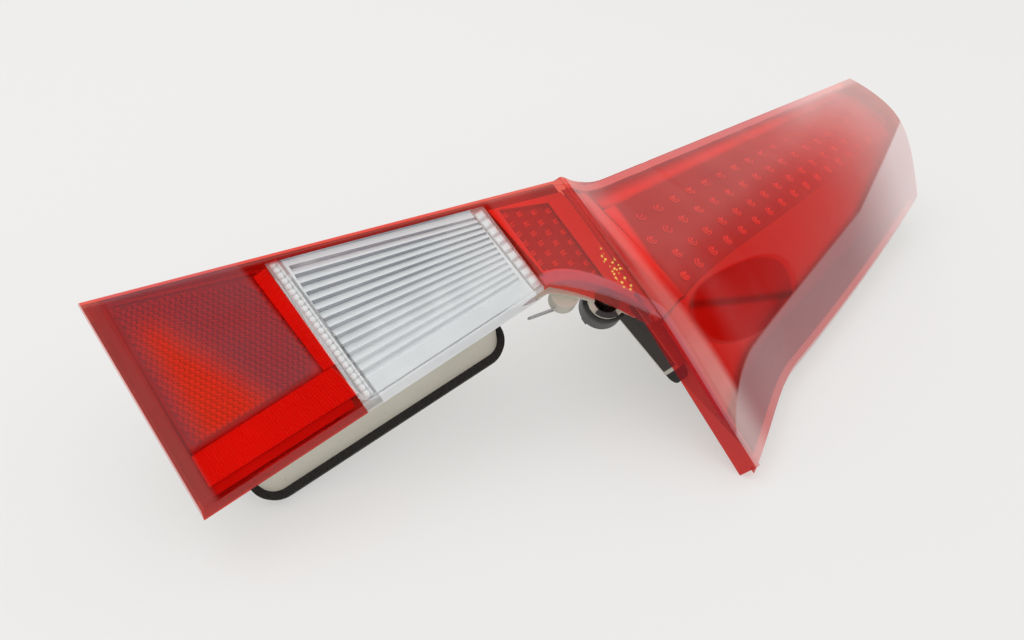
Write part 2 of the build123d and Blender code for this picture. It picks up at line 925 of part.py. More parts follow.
with BuildPart() as blade_reflector:
    add(
        blade_band(carrier_start, carrier_end, carrier_spans, carrier_shares, carrier_drop, carrier_foot)
    )
    with BuildSketch(tail_seat):
        Circle(bulb_radius + 2 * bulb_clearance)
    extrude(amount=2 * carrier_drop, mode=Mode.SUBTRACT)
    add(blade_pillars.part)

# Trays of the lower chambers
with BuildPart() as fog_reflector:
    add(reflector_tray(fog_cell, (fog_place,)))

with BuildPart() as reverse_reflector:
    add(reflector_tray(reverse_cell, (reverse_place, indicator_place)))

# Foam gaskets on the backs
with BuildPart() as lower_gasket:
    extrude(box_plan(-box_depth, gasket_proud), amount=-gasket_thickness)
    extrude(
        box_plan(-box_depth, gasket_proud - gasket_width), amount=-gasket_thickness, mode=Mode.SUBTRACT
    )


def gasket_section(x, inset, top, foot):
    """Section of the upper gasket along the housing's back at height x."""
    (inner_y, inner_z), (outer_y, outer_z) = back_corners(x)
    slope = (outer_z - inner_z) / (outer_y - inner_y)
    near = (inner_y - inset, inner_z - inset * slope)
    far = (outer_y + inset, outer_z + inset * slope)
    with BuildSketch(Plane.YZ.offset(x)) as section:
        with BuildLine():
            Polyline(
                (near[0], near[1] - top),
                (far[0], far[1] - top),
                (far[0], far[1] - foot),
                (near[0], near[1] - foot),
                close=True,
            )
        make_face()
    return section.sketch


with BuildPart() as upper_gasket:
    loft(
        [
            gasket_section(x, upper_gasket_inset, 0.0, upper_gasket_thickness)
            for x in (upper_gasket_start, upper_gasket_end)
        ],
        ruled=True,
    )
    loft(
        [
            gasket_section(
                x, upper_gasket_inset + upper_gasket_width, -gasket_width, 2 * upper_gasket_thickness
            )
            for x in (upper_gasket_start + upper_gasket_width, upper_gasket_end - upper_gasket_width)
        ],
        ruled=True,
        mode=Mode.SUBTRACT,
    )

# Bulbs
with BuildPart() as fog_bulb:
    add(wedge_bulb(fog_seat, bulb_radius, bulb_length, socket_barrel))

with BuildPart() as reverse_bulb:
    add(wedge_bulb(reverse_seat, bulb_radius, bulb_length, socket_barrel))

with BuildPart() as indicator_bulb:
    add(wedge_bulb(indicator_seat, bulb_radius, bulb_length, socket_barrel))

with BuildPart() as stop_bulb:
    add(wedge_bulb(stop_seat, small_bulb_radius, small_bulb_length, small_socket_barrel))

with BuildPart() as tail_bulb:
    add(wedge_bulb(tail_seat, bulb_radius, bulb_length, socket_barrel))

with BuildPart() as side_bulb:
    add(wedge_bulb(side_seat, small_bulb_radius, small_bulb_length, socket_barrel))

# Sockets
with BuildPart() as fog_socket:
    add(bulb_socket(fog_seat, socket_radius, socket_flange_radius, socket_barrel))

with BuildPart() as reverse_socket:
    add(bulb_socket(reverse_seat, socket_radius, socket_flange_radius, socket_barrel))

with BuildPart() as indicator_socket:
    add(bulb_socket(indicator_seat, socket_radius, socket_flange_radius, socket_barrel))

with BuildPart() as stop_socket:
    add(bulb_socket(stop_seat, small_socket_radius, small_socket_flange_radius, small_socket_barrel))

with BuildPart() as tail_socket:
    add(bulb_socket(tail_seat, socket_radius, socket_flange_radius, socket_barrel))

with BuildPart() as side_socket:
    add(bulb_socket(side_seat, socket_radius, socket_flange_radius, socket_barrel))

# Rubber seals and contact blades of all the sockets
with BuildPart() as socket_seals:
    for seat in large_seats:
        add(
            flat_ring(seat, socket_flange_radius - seal_inset, socket_radius + socket_fit, seal_thickness)
        )
    add(
        flat_ring(
            stop_seat,
            small_socket_flange_radius - seal_inset,
            small_socket_radius + socket_fit,
            seal_thickness,
        )
    )

with BuildPart() as socket_terminals:
    for seat in (*large_seats, stop_seat):
        with BuildSketch(seat.offset(-seal_thickness - socket_flange - socket_back - terminal_length)):
            with GridLocations(0, terminal_pitch, 1, 2):
                Rectangle(terminal_width, terminal_wall)
        extrude(amount=terminal_length + terminal_grip)

# Studs with a neck in their collars
stud_lengths = (stud_length, stud_length, top_stud_length)
with BuildPart() as fixing_studs:
    for seat, length in zip((*stud_seats, top_stud_seat), stud_lengths):
        with BuildSketch(seat.offset(-collar_height)):
            Circle(stud_radius)
        extrude(amount=collar_height - length)
        stud_end = fixing_studs.edges(Select.LAST).sort_by(Axis(seat.origin, seat.z_dir))[0]
        chamfer(stud_end, length=stud_chamfer)
        with BuildSketch(seat):
            Circle(stud_radius - stud_neck)
        extrude(amount=-collar_height)

with BuildPart() as stud_collars:
    for seat in (*stud_seats, top_stud_seat):
        add(flat_ring(seat, collar_radius, stud_radius - stud_neck + collar_fit, collar_height))

# Wire spring beside the boss and vent cap on the lower back
with BuildPart() as wire_clip:
    with BuildLine() as clip_path:
        FilletPolyline(*clip_points, radius=clip_bend)
    with BuildSketch(Plane(origin=clip_path.line @ 0, z_dir=clip_path.line % 0)):
        Circle(clip_wire)
    sweep()

with BuildPart() as breather_cap:
    with BuildSketch(lower_seat(breather_place)):
        Circle(breather_stem_radius)
    extrude(amount=-breather_stem)
    with BuildSketch(lower_seat(breather_place, -box_depth - breather_stem)):
        Circle(breather_radius)
    extrude(amount=breather_stem - breather_height)

pieces = {
    "red_lens": red_lens,
    "clear_lens": clear_lens,
    "reflex_reflector": reflex_reflector,
    "shoulder_optic": shoulder_optic,
    "blade_optic": blade_optic,
    "side_cup": side_cup,
    "lower_housing": lower_housing,
    "upper_housing": upper_shell,
    "lower_gasket": lower_gasket,
    "upper_gasket": upper_gasket,
    "fog_reflector": fog_reflector,
    "reverse_reflector": reverse_reflector,
    "blade_reflector": blade_reflector,
    "fog_bulb": fog_bulb,
    "reverse_bulb": reverse_bulb,
    "indicator_bulb": indicator_bulb,
    "stop_bulb": stop_bulb,
    "tail_bulb": tail_bulb,
    "side_bulb": side_bulb,
    "fog_socket": fog_socket,
    "reverse_socket": reverse_socket,
    "indicator_socket": indicator_socket,
    "stop_socket": stop_socket,
    "tail_socket": tail_socket,
    "side_socket": side_socket,
    "socket_seals": socket_seals,
    "socket_terminals": socket_terminals,
    "fixing_studs": fixing_studs,
    "stud_collars": stud_collars,
    "wire_clip": wire_clip,
    "breather_cap": breather_cap,
}

# The lamp lies on the shoulder's tip, on a corner of the lower gasket and on the top stud
tip_foot = Vector(-strip_lean, -tip_reach, -tip_drop - strip_height)
gasket_foot = Vector(-box_low, -box_outer_reach - box_flare, -box_depth - gasket_thickness)
stud_foot = top_stud_seat.origin - top_stud_seat.z_dir * top_stud_length


def floor_plane(tip, gasket, stud):
    """Floor through the three feet, its x axis along the lamp."""
    up = (stud - tip).cross(gasket - tip).normalized()
    return Plane(origin=tip, x_dir=(1, 0, 0), z_dir=up)


floor = floor_plane(tip_foot, gasket_foot, stud_foot)
for settle in range(3):
    lows = [
        floor.to_local_coords(part).bounding_box().min.Z
        for part in (red_lens.part, lower_gasket.part, fixing_studs.part)
    ]
    tip_foot += floor.z_dir * lows[0]
    gasket_foot += floor.z_dir * lows[1]
    stud_foot += floor.z_dir * lows[2]
    floor = floor_plane(tip_foot, gasket_foot, stud_foot)

settled = {name: floor.to_local_coords(piece.part) for name, piece in pieces.items()}
boxes = [piece.bounding_box() for piece in settled.values()]
middle_x = (min(box.min.X for box in boxes) + max(box.max.X for box in boxes)) / 2
middle_y = (min(box.min.Y for box in boxes) + max(box.max.Y for box in boxes)) / 2
lowest = min(box.min.Z for box in boxes)
to_centre = Location((-middle_x, -middle_y, -lowest))

os.makedirs("parts", exist_ok=True)
for name, piece in settled.items():
    placed = to_centre * piece
    placed.label = name
    export_step(placed, f"parts/{name}.step")
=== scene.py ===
"""Tail light cluster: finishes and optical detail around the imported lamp, in the lamp's own frame."""
import functools
import json
import math

import bmesh
import bpy
from mathutils import Matrix, Vector
from mathutils.bvhtree import BVHTree


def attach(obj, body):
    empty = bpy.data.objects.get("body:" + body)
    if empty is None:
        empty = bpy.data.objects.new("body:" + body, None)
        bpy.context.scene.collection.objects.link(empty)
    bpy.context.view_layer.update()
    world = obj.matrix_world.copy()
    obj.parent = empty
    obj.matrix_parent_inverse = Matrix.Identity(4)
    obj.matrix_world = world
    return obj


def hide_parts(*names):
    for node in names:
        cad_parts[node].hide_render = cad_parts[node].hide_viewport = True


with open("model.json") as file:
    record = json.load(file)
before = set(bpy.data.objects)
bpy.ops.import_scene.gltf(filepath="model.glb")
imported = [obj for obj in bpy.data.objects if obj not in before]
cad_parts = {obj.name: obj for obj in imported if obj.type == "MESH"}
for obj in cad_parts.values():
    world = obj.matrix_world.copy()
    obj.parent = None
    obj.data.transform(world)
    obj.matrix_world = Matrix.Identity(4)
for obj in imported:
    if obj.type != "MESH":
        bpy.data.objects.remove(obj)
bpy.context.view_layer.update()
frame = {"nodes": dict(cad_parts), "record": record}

MM = 0.001
SQUARE = ((-1, -1), (1, -1), (1, 1), (-1, 1))

# Lamp frame: x up the lamp from the shoulder crease, y towards the car's middle, z out of the lower lens.
# Two studs and the gasket's face, whose places in that frame are known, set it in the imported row.
LOW_STUD = Vector((-234, 40, -59.7))
WAIST_STUD = Vector((-128, 13, -59.7))
mounts = {mount["name"]: mount for mount in frame["record"]["mounts"]}

# Camera, as the photograph was taken
CAMERA_PLACE = (-175, -126.8, 428)
CAMERA_LOOK = Vector((0.2215, 0.1547, -0.9622))
CAMERA_UP = Vector((0.5272, 0.8117, 0.2527))
CAMERA_LENS = 26.72
CAMERA_CLIP = 0.01
SENSOR_WIDTH = 36

# Stage: the floor, the sky, and each soft lamp's place and power
FLOOR_REACH = 6.0
FLOOR_GREY = 0.86
FLOOR_CLOUD = 0.985
FLOOR_SEEN = (239, 237, 234)
FLOOR_GLOW = 0.5
WORLD_STRENGTH = 0.86
LIGHT_SIZE = 1.6
LIGHTS = {"key": ((-0.7, 0.9, 1.9), 7), "fill": ((1.0, -1.3, 1.6), 2.5)}

# Lower red cell, behind the lens's flat face
SHEET_TOP = -4.6
SHEET_WALL = 0.8
REFLEX_OUTLINE = (
    (-261, 70.5), (-190, 44.8), (-185, -12), (-186.5, -17), (-190, -20.4), (-198, -21), (-261, -22)
)
REFLEX_TOP = -3.3
REFLEX_DEPTH = 2.6
CELL_PITCH = 3.4
CELL_RISE = 1.2
RIB_TOP = -3.4
RIB_RISE = 0.8
RIB_BASE = -5.4
RIB_PITCH = 1.7
RIB_RUNS = {
    "outer": (((-265.5, -25.4), (-177, -24)), ((-265.5, -45), (-172.5, -45))),
    "seam": (((-187.4, 46.2), (-182.2, -23.6)), ((-178.6, 47), (-174.4, -23.6))),
}
TOP_RIBS = (((-262, 72.8), (-182, 46)), ((-262, 74.4), (-182, 48)))
LOWER_MARGIN = (
    (-270, 76.6), (-264.5, 74.8), (-266, -45.3), (-178.4, -45.3), (-178.4, -50.4), (-270.4, -50.4)
)
LOWER_BACKING = ((-265, 74), (-179, 46), (-173.5, -45), (-265, -45))
LOWER_BACKING_TOP = -6.1

# Shoulder cell
ARCH_POINT = (-43, -44.5)
ARCH_SLOPE = -0.568
ARCH_BEND = -0.0219
ARCH_TURN = -24.5
FRAME_SIDE = ((-48.5, 8), (-3.4, -5.8), (-0.6, -20), (0.2, -46), (-0.8, -84))
WINDOW_SIDE = ((-43, 5), (-14, -7.5), (-13, -67))
ARCH_FRAME = (-4, -12, -20, -28, -36, -43)
ARCH_WINDOW = (-18, -24, -30, -36, -42)
ARCH_SKIRT = (-46, -40, -34, -28, -22, -16, -10, -4)
WINDOW_CLEAR = 2.0
SKIRT_WIDTH = (6.2, 5.6)
SKIRT_GAP = 0.4
# Painted gold glints: where they gather behind the frame, and how far they reach
SPARKLE_PLACE = (-5.8, -67)
SPARKLE_REACH = (4.2, 19)

# Rays that find the lens and the optic from above, and where they look
RAY_TOP = 60
RAY_SKIN = 0.05 * MM
BLADE_SCAN = (12, -215)
OPTIC_SCAN = 4

# Blade: sheets under its face, by shares of the way outwards and by height
BLADE_DROP = 7.6
BLADE_SHEET_WALL = 1.0
LENS_CLEAR = 0.5
DEEP_WALL = 14.0
BLADE_START = 12.0
BLADE_END = 338.0
BLADE_STEP = 5.0
INNER_SHARE = 0.042
OPTIC_SHARES = (0.15, 0.51)
FLANGE_SHARE = 0.83
TOP_SHARE = 0.95
BAND_SHARE = OPTIC_SHARES[1] - 0.004
OPTIC_GAP = 0.15
OPTIC_END_GAP = 1.2
ROLL_START = -2.0
ROLL_GAP = 0.2
ROLL_BEND = 1.0
ROLL_STEP = 1.0
ROLL_DROP = 4.2
SIDE_START = 1.0
FINE_STEP = 2.0

# Bright rings round the dots of the blade's optic, as a painted highlight round each dot
TIP_SIDE = 0.8
TIP_FIT = 0.03
RING_RADIUS = 3.1
RING_TUBE = 0.5
RING_CLEAR = 1.3
RING_STEPS = 20
RING_SIDES = 6

# Oval dish in the blade's smooth side, over the side cup, folded along a slanting line
DISH_PLACE = Vector((70, -124.5))
DISH_REACH = (53, 23.5)
DISH_FULLNESS = 2.6
DISH_TURN = math.radians(-5)
DISH_DEPTH = 5.0
DISH_SLOPE = 0.16
DISH_WALL = 0.35
FOLD_PLACE = Vector((68, -123))
FOLD_ACROSS = Vector((0.324, 0.946))

# Seams of the clear section: lines from the inner to the outer side
INNER_LEAN = 0.30
LOW_SEAM = (Vector((-177, 48.5)), Vector((-171.5, -50)))
HIGH_SEAM = (Vector((-51, 11)), Vector((-47.3, -48)))
SEAM_BAND = 7.6
BEAD_RADIUS = 2.0
BEAD_PITCH = 4.1
BEAD_SET = 2.6
BEAD_TOP = -3.1
BEAD_DEPTH = 1.3
BEAD_ROUNDS = 3
RAIL_SET = 5.3
RAIL_WIDTH = 1.2
RAIL_GAP = 0.4
TOOTH_PITCH = 6.4
TOOTH_LENGTH = 4.6
TOOTH_SET = 3.6
TOOTH_WIDTH = 5.6
TOOTH_DEPTH = 1.8
TOOTH_BEVEL = 0.7
BACKING_TOP = -5.6
BACKING_REACH = (0.8, 5.9)

# Flange strip along the blade's outer edge: y of its line at the crease, slope, and where it bends in
FLANGE_START = -161
FLANGE_SLOPE = 0.184
FLANGE_BEND = 228
FLANGE_BEND_SLOPE = 0.2
FLANGE_FOOT = 50
FLANGE_FOOT_TURN = 0.011

# Under the shoulder: a dark plate as painted shade inside the apron, the foam's end, the stop socket's skirt
# and collar
APRON_FACE = -1.5
APRON_SIDE = -136.0
APRON_RECESS = ((-14.5, -70.6), (-133.5, -47.6), (-133.5, -24.6), (-14.5, -19.8))
RECESS_WALL = 0.5
FOAM_END_TOP = -28.0
FOAM_END_FOOT = -49.0
FOAM_END_REACH = 8.0
FOAM_END_RUN = (-1.5, 4.9)
FOAM_END_STEPS = 16
STOP_PLACE = (-16.5, -77.0)
SOCKET_SKIRT = (
    (12.2, -16), (13.6, -16.6), (14.1, -18), (14.3, -33), (13.2, -33), (13.2, -17.4), (12.2, -17.4)
)
SKIRT_STEPS = 64
COLLAR_TURN = (-165, -92)
COLLAR_STEPS = 24
COLLAR_REACH = (8.8, 12.3)
COLLAR_FOOT = -12.98
COLLAR_WALL = 0.5

# Zones of the finishes: between the first two values, of a coordinate in millimetres, a facing or a
# texture, a share goes from nought to one, or from the third value to the fourth
ZONES = {
    "blade": (12, 26), "flange": (1.5, -1.5), "flange_root": (-4, 4), "flange_edge": (0.3, 0.1),
    "flange_veil": (0.0, 1.0, 0.54, 0.62), "foot_end": (30, 8),
    "corner": (-84, -170), "roll": (8.5, 1.0), "upper_face": (50, 84), "blade_edge": (-11, -4),
    "open_side": (70, 56), "climb": (60, 260), "fade": (180, 345),
    "front": (-0.4, -0.7), "front_reach": (-96, -106), "front_root": (40, 25), "front_shade": (-120, -190),
    "upright": (0.4, 0.2), "upright_root": (14, 30),
    "above": (-4, 6), "strip": (-5.5, -3.0), "cell_low": (-266, -261), "cell_seam": (-183.6, -187.6),
    "cell_outer": (-26, -20),
    # Zones of the painted glow on the reflex cells
    "lit_lean": (-212, -236), "lit_low": (-266, -246), "lit_inner": (66, 40), "lit_outer": (-30, -18),
    "low_end": (-262, -267), "level": (0.35, 0.65), "pink": (-1.0, 1.5), "low_wall": (-50, -90),
    "tip_wall": (-30, -6),
    # The spark zones place painted gold glints; dust and cloud are the veil's own haze
    "dust": (0.45, 0.75, 0.0, 0.008), "cloud": (0.25, 0.75, 0.85, 1.15), "spark_pick": (0.36, 0.44),
    "spark_point": (0.46, 0.28), "spark_near": (1.1, 0.5),
    "flute_slope": (0.6, 0.8), "flute_outer": (-34, 4, 0.12, 1.0), "flute_streak": (0.3, 0.62, 0.65, 1.0),
    "past_low_seam": (-0.6, 0.6), "past_high_seam": (0.6, -0.6), "clear_steep": (0.1, 0.3, 1.3, 1.0),
    "clear_face": (0.85, 0.95),
    "prism_facet": (-0.35, 0.35), "prism_grain": (0.3, 0.7, 0.8, 1.0),
    # The dot zones place painted highlights on the optic's dots
    "optic_blade": (-2, 6), "optic_pale": (120, 300), "optic_rim": (-2.5, 2.5), "blade_dot": (0.86, 0.72),
    "blade_dot_side": (0.55, 0.3), "shoulder_dot": (0.97, 0.85), "shoulder_dot_side": (0.75, 0.2, 0.45, 1.0),
    "dish": (1.05, 0.88), "fold": (4.5, 0.5), "crease_fade": (-62, -103), "streak_gaps": (0.2, 0.6, 0.7, 1.0),
    "specks": (0.66, 0.74, 0.0, 0.5), "housing_rough": (0.2, 0.8, 0.42, 0.6),
    "tray_rough": (0.3, 0.7, 0.22, 0.34), "pores": (0.1, 0.6),
}

# Red lens: lines of its zones, and the veil's shares and colours in them. The veil is partly the lens's own
# milkiness and partly painted highlight, glow and shade
# Painted highlight along the roll beside the crease: its line, and its shift and widening at the blade's
# lower corner
ROLL_HIGHLIGHT_LINE = (0.1, 16.5)
ROLL_HIGHLIGHT_LEAST = 8.0
CORNER_HIGHLIGHT_SHIFT = 3.0
CORNER_HIGHLIGHT_WIDTH = 2.5
BLADE_LEAN = 0.036
CELL_LEAN = 0.093
# Lean of the edge of the painted glow on the reflex cells
LIT_LEAN = 0.42
PINK_RUN = (-48, 4, 2)
FRAME_RUN = (-47, 3, 2)
VEILS = {
    "upper_face": 0.20, "open_side": 0.055, "blade_edge": 0.18, "strip": 0.13, "dim_cell": 0.14,
    "low_end": 0.14, "pink": 0.40, "frame": 0.14, "lit_cell": 0.22,
}
# Veil of the painted roll highlight, more towards the lower corner
ROLL_HIGHLIGHT_VEIL = (0.12, 0.34)
CLIMB_VEIL = (0.07, 0.07)
# Veil of the walls below the crease, thicker near the shoulder's tip, where it paints the shade under the lip
WALL_VEIL = (0.14, 0.32)
EDGE_VEIL = 0.25
FADE_VEIL = 0.36
FRONT_VEIL = 0.42
# Veil of painted shade on the blade's steep walls seen from inside the lens
UPRIGHT_SHADE_VEIL = 0.75
LEAST_VEIL = 0.004
MOST_VEIL = 0.85
# Veil colours: roll is a painted highlight, lit_cell a painted glow, tip_wall and upright painted shade
VEIL_TONES = {
    "plain": (238, 148, 142), "purple": (208, 138, 146), "arch_wall": (236, 92, 78),
    "tip_wall": (170, 62, 66), "low_wall": (190, 44, 36), "lit_cell": (255, 92, 62),
    "roll": (244, 190, 182), "flange": (198, 148, 150), "foot_end": (228, 202, 200),
    "flange_edge": (178, 130, 132), "faded": (253, 212, 207), "faded_flange": (246, 228, 226),
    "front_wall": (190, 54, 58), "front_foot": (158, 66, 76), "upright": (156, 96, 98),
}
# Painted gold glints: their grain, share and colour
SPARKLE_GRAIN = 440
SPARKLE_SHARE = 0.85
GLINT_TONE = (255, 208, 104)

# Other finishes
BRIGHT_TONES = ((255, 244, 238), (255, 230, 222))
SIDE_TONES = ((214, 168, 160), (200, 152, 146))
GLOSS_WHITE = (0.95, 0.95, 0.95, 1)
OPTIC_RIM_LINE = (0.22, 40.5)
STREAK_RUN = (-23, -15, 5)
CLEAR_FROST = (0.6, 0.2)
# Metal sheen of the reflex prisms under their painted glow
PRISM_MIRROR = 0.7
FROST_DEPTH = 0.5 * MM

# Stud threads
THREAD_ROOT = 2.9
THREAD_CREST = 3.12
THREAD_PITCH = 1.0
THREAD_STEPS = 20
THREAD_WIDTH = 0.4
THREAD_SPARE = (5.0, 1.5)


def lamp_frame():
    """The lamp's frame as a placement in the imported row."""
    outward = -Vector(mounts["gasket_face"]["axis"]).normalized()
    low = Vector(mounts["low_stud"]["pos_m"])
    run = (Vector(mounts["waist_stud"]["pos_m"]) - low).normalized()
    side = outward.cross(run)
    step = WAIST_STUD - LOW_STUD
    turn = math.atan2(step.y, step.x)
    along = run * math.cos(turn) - side * math.sin(turn)
    inward = run * math.sin(turn) + side * math.cos(turn)
    axes = Matrix((along, inward, outward)).transposed()
    placed = axes.to_4x4()
    placed.translation = low - axes @ (LOW_STUD * MM)
    return placed


LAMP = lamp_frame()
LAMP_AXES = LAMP.to_3x3()
LAMP_MM = LAMP @ Matrix.Scale(MM, 4)
LAMP_BACK = LAMP_MM.inverted()


def at(x, y, z):
    """A point given in the lamp's frame in millimetres, as a place in the row in metres."""
    return LAMP_MM @ Vector((x, y, z))


def srgb(*screen):
    """A colour written as 0 to 255 screen values."""
    shares = [value / 255 for value in screen]
    return (*(v / 12.92 if v <= 0.04045 else ((v + 0.055) / 1.055) ** 2.4 for v in shares), 1.0)


class Shading:
    """Builds one material's nodes. A value given for an input is set, and a socket is linked.

    A colour of three numbers is in screen values, one of four is linear.
    """

    def __init__(self, name):
        self.material = bpy.data.materials.new(name)
        self.material.use_nodes = True
        self.tree = self.material.node_tree
        self.tree.nodes.clear()
        self.place = self.add("ShaderNodeTexCoord").outputs["Object"]
        self.x = self.lamp_axis(0)
        self.y = self.lamp_axis(1)

    def put(self, socket, value):
        if isinstance(value, bpy.types.NodeSocket):
            self.tree.links.new(value, socket)
        elif isinstance(value, tuple) and len(value) == 3:
            socket.default_value = srgb(*value)
        else:
            socket.default_value = value

    def add(self, kind, inputs=None, **settings):
        node = self.tree.nodes.new(kind)
        for key, value in settings.items():
            setattr(node, key, value)
        for key, value in (inputs or {}).items():
            self.put(node.inputs[key], value)
        return node

    def math(self, operation, *values, clamp=False):
        node = self.add("ShaderNodeMath", dict(enumerate(values)), operation=operation, use_clamp=clamp)
        return node.outputs[0]

    def chain(self, operation, values):
        """One operation over all of the values."""
        return functools.reduce(lambda total, value: self.math(operation, total, value), values)

    def sum(self, *values):
        return self.chain("ADD", values)

    def product(self, *values):
        return self.chain("MULTIPLY", values)

    def most(self, *values):
        return self.chain("MAXIMUM", values)

    def less(self, first, second):
        return self.math("SUBTRACT", first, second)

    def rest(self, share):
        """What a share leaves of one."""
        return self.less(1.0, share)

    def size(self, value):
        return self.math("ABSOLUTE", value)

    def weighed(self, pairs):
        """The sum of values, each times its weight."""
        return self.sum(*(self.product(value, weight) for value, weight in pairs))

    def dot(self, first, second):
        node = self.add("ShaderNodeVectorMath", {0: first, 1: second}, operation="DOT_PRODUCT")
        return node.outputs["Value"]

    def lamp_axis(self, index):
        """One of the lamp frame's coordinates of the shaded point, in millimetres."""
        start = LAMP.translation
        offset = self.add("ShaderNodeVectorMath", {0: self.place, 1: start}, operation="SUBTRACT")
        return self.dot(offset.outputs["Vector"], LAMP_AXES.col[index] / MM)

    def faces(self, index):
        """How far the outer side of a wall faces along one of the lamp frame's axes, from -1 to 1."""
        geometry = self.add("ShaderNodeNewGeometry").outputs
        facing = self.dot(geometry["True Normal"], LAMP_AXES.col[index])
        return self.product(facing, self.rest(self.product(geometry["Backfacing"], 2.0)))

    def ramp(self, value, start, end, low=0.0, high=1.0):
        """Goes smoothly from low to high as the value goes from start to end."""
        inputs = {"Value": value, "From Min": start, "From Max": end, "To Min": low, "To Max": high}
        return self.add("ShaderNodeMapRange", inputs, interpolation_type="SMOOTHSTEP").outputs["Result"]

    def zone(self, **ways):
        """The product of named zones' shares, each at a value along its own way."""
        return self.product(*(self.ramp(value, *ZONES[name]) for name, value in ways.items()))

    def noise(self, scale, detail=3.0, roughness=0.5):
        inputs = {"Vector": self.place, "Scale": scale, "Detail": detail, "Roughness": roughness}
        return self.add("ShaderNodeTexNoise", inputs).outputs["Fac"]

    def mix(self, share, first, second):
        return self.add("ShaderNodeMix", {0: share, 6: first, 7: second}, data_type="RGBA").outputs[2]

    def cloudy(self, light, dark, scale=40, detail=3.0):
        return self.mix(self.noise(scale, detail), light, dark)

    def bump(self, height, strength, distance):
        inputs = {"Height": height, "Strength": strength, "Distance": distance}
        return self.add("ShaderNodeBump", inputs).outputs["Normal"]

    def blend(self, share, first, second):
        return self.add("ShaderNodeMixShader", {0: share, 1: first, 2: second}).outputs[0]

    def clear(self, tint):
        return self.add("ShaderNodeBsdfTransparent", {"Color": tint}).outputs[0]

    def matt(self, colour):
        return self.add("ShaderNodeBsdfDiffuse", {"Color": colour}).outputs[0]

    def gloss(self, roughness, colour=GLOSS_WHITE, **inputs):
        named = {"Color": colour, "Roughness": roughness, **inputs}
        return self.add("ShaderNodeBsdfGlossy", named).outputs[0]

    def spots(self, scale):
        return self.add("ShaderNodeTexVoronoi", {"Vector": self.place, "Scale": scale}).outputs

    def front(self):
        """One on the outer side of a wall and nought on its inner side."""
        return self.rest(self.add("ShaderNodeNewGeometry").outputs["Backfacing"])

    def outer_gloss(self, index, loss=0.0):
        """The share of light that a clear wall's outer face throws back, less a loss."""
        fresnel = self.add("ShaderNodeFresnel", {"IOR": index}).outputs[0]
        return self.product(self.math("SUBTRACT", fresnel, loss, clamp=True), self.front())

    def band(self, value, start, end, soft):
        """One between two values and nought outside them, with soft edges."""
        rise = self.ramp(value, start - soft, start + soft)
        return self.product(rise, self.ramp(value, end + soft, end - soft))

    def line(self, value, slope, start):
        """A start and a slope over a value."""
        return self.math("MULTIPLY_ADD", value, slope, start)

    def principled(self, **inputs):
        named = {key.replace("_", " "): value for key, value in inputs.items()}
        return self.add("ShaderNodeBsdfPrincipled", named).outputs[0]

    def finish(self, shader):
        self.add("ShaderNodeOutputMaterial", {"Surface": shader})
        return self.material

    def solid(self, colour, rough, **inputs):
        """Finishes the material as an opaque one."""
        return self.finish(self.principled(Base_Color=colour, Roughness=rough, **inputs))

    def plastic(self, colour, rough, grain=700, strength=0.12):
        """Finishes the material as a moulded plastic with a fine frost."""
        return self.solid(colour, rough, Normal=self.bump(self.noise(grain, 2.0), strength, FROST_DEPTH))


def painted_reflex_glow(s):
    """Where the reflex prisms send light back towards the camera: a painted glow, in their colour, their
    metal sheen and the lens's veil.
    """
    lean = s.line(s.y, LIT_LEAN, s.x)
    return s.zone(lit_lean=lean, lit_low=s.x, lit_inner=s.y, lit_outer=s.y)


def flange_distance(s):
    """How far a point lies inwards from the line of the blade's flange."""
    bend = s.most(s.less(s.x, FLANGE_BEND), 0.0)
    foot = s.most(s.less(FLANGE_FOOT, s.x), 0.0)
    bent = s.line(bend, FLANGE_BEND_SLOPE, s.line(s.x, FLANGE_SLOPE, FLANGE_START))
    return s.less(s.y, s.line(s.product(foot, foot), -FLANGE_FOOT_TURN, bent))


def blade_zones(s):
    """Shares of the red lens's zones on the blade."""
    inwards = flange_distance(s)
    flange = s.zone(flange=inwards, flange_root=s.x)
    # The corner and roll zones place the painted highlight along the roll
    corner = s.zone(corner=s.y)
    roll_highlight_line = s.line(corner, CORNER_HIGHLIGHT_SHIFT, s.most(s.line(s.y, *ROLL_HIGHLIGHT_LINE), ROLL_HIGHLIGHT_LEAST))
    off_roll_highlight = s.less(s.size(s.less(s.x, roll_highlight_line)), s.product(corner, CORNER_HIGHLIGHT_WIDTH))
    open_side = s.zone(open_side=inwards, blade=s.x)
    # Steep walls of the blade seen from inside the lens: painted shade
    standing = s.zone(upright=s.size(s.faces(2)), upright_root=s.x)
    return {
        "flange": flange,
        "flange_edge": s.product(flange, s.zone(flange_edge=s.faces(2))),
        "foot_end": s.zone(foot_end=s.x),
        "corner": corner,
        "roll": s.zone(roll=off_roll_highlight),
        "upper_face": s.zone(upper_face=inwards, blade=s.x),
        "blade_edge": s.zone(blade_edge=s.line(s.x, BLADE_LEAN, s.y), blade=s.x),
        "open_side": s.product(open_side, s.rest(dish_shares(s)[0])),
        "climb": s.zone(climb=s.x, blade=s.x),
        "fade": s.zone(fade=s.x),
        "front_wall": s.zone(front=s.faces(0), front_reach=s.y, front_root=s.x),
        "upright": s.product(standing, s.rest(s.front())),
    }


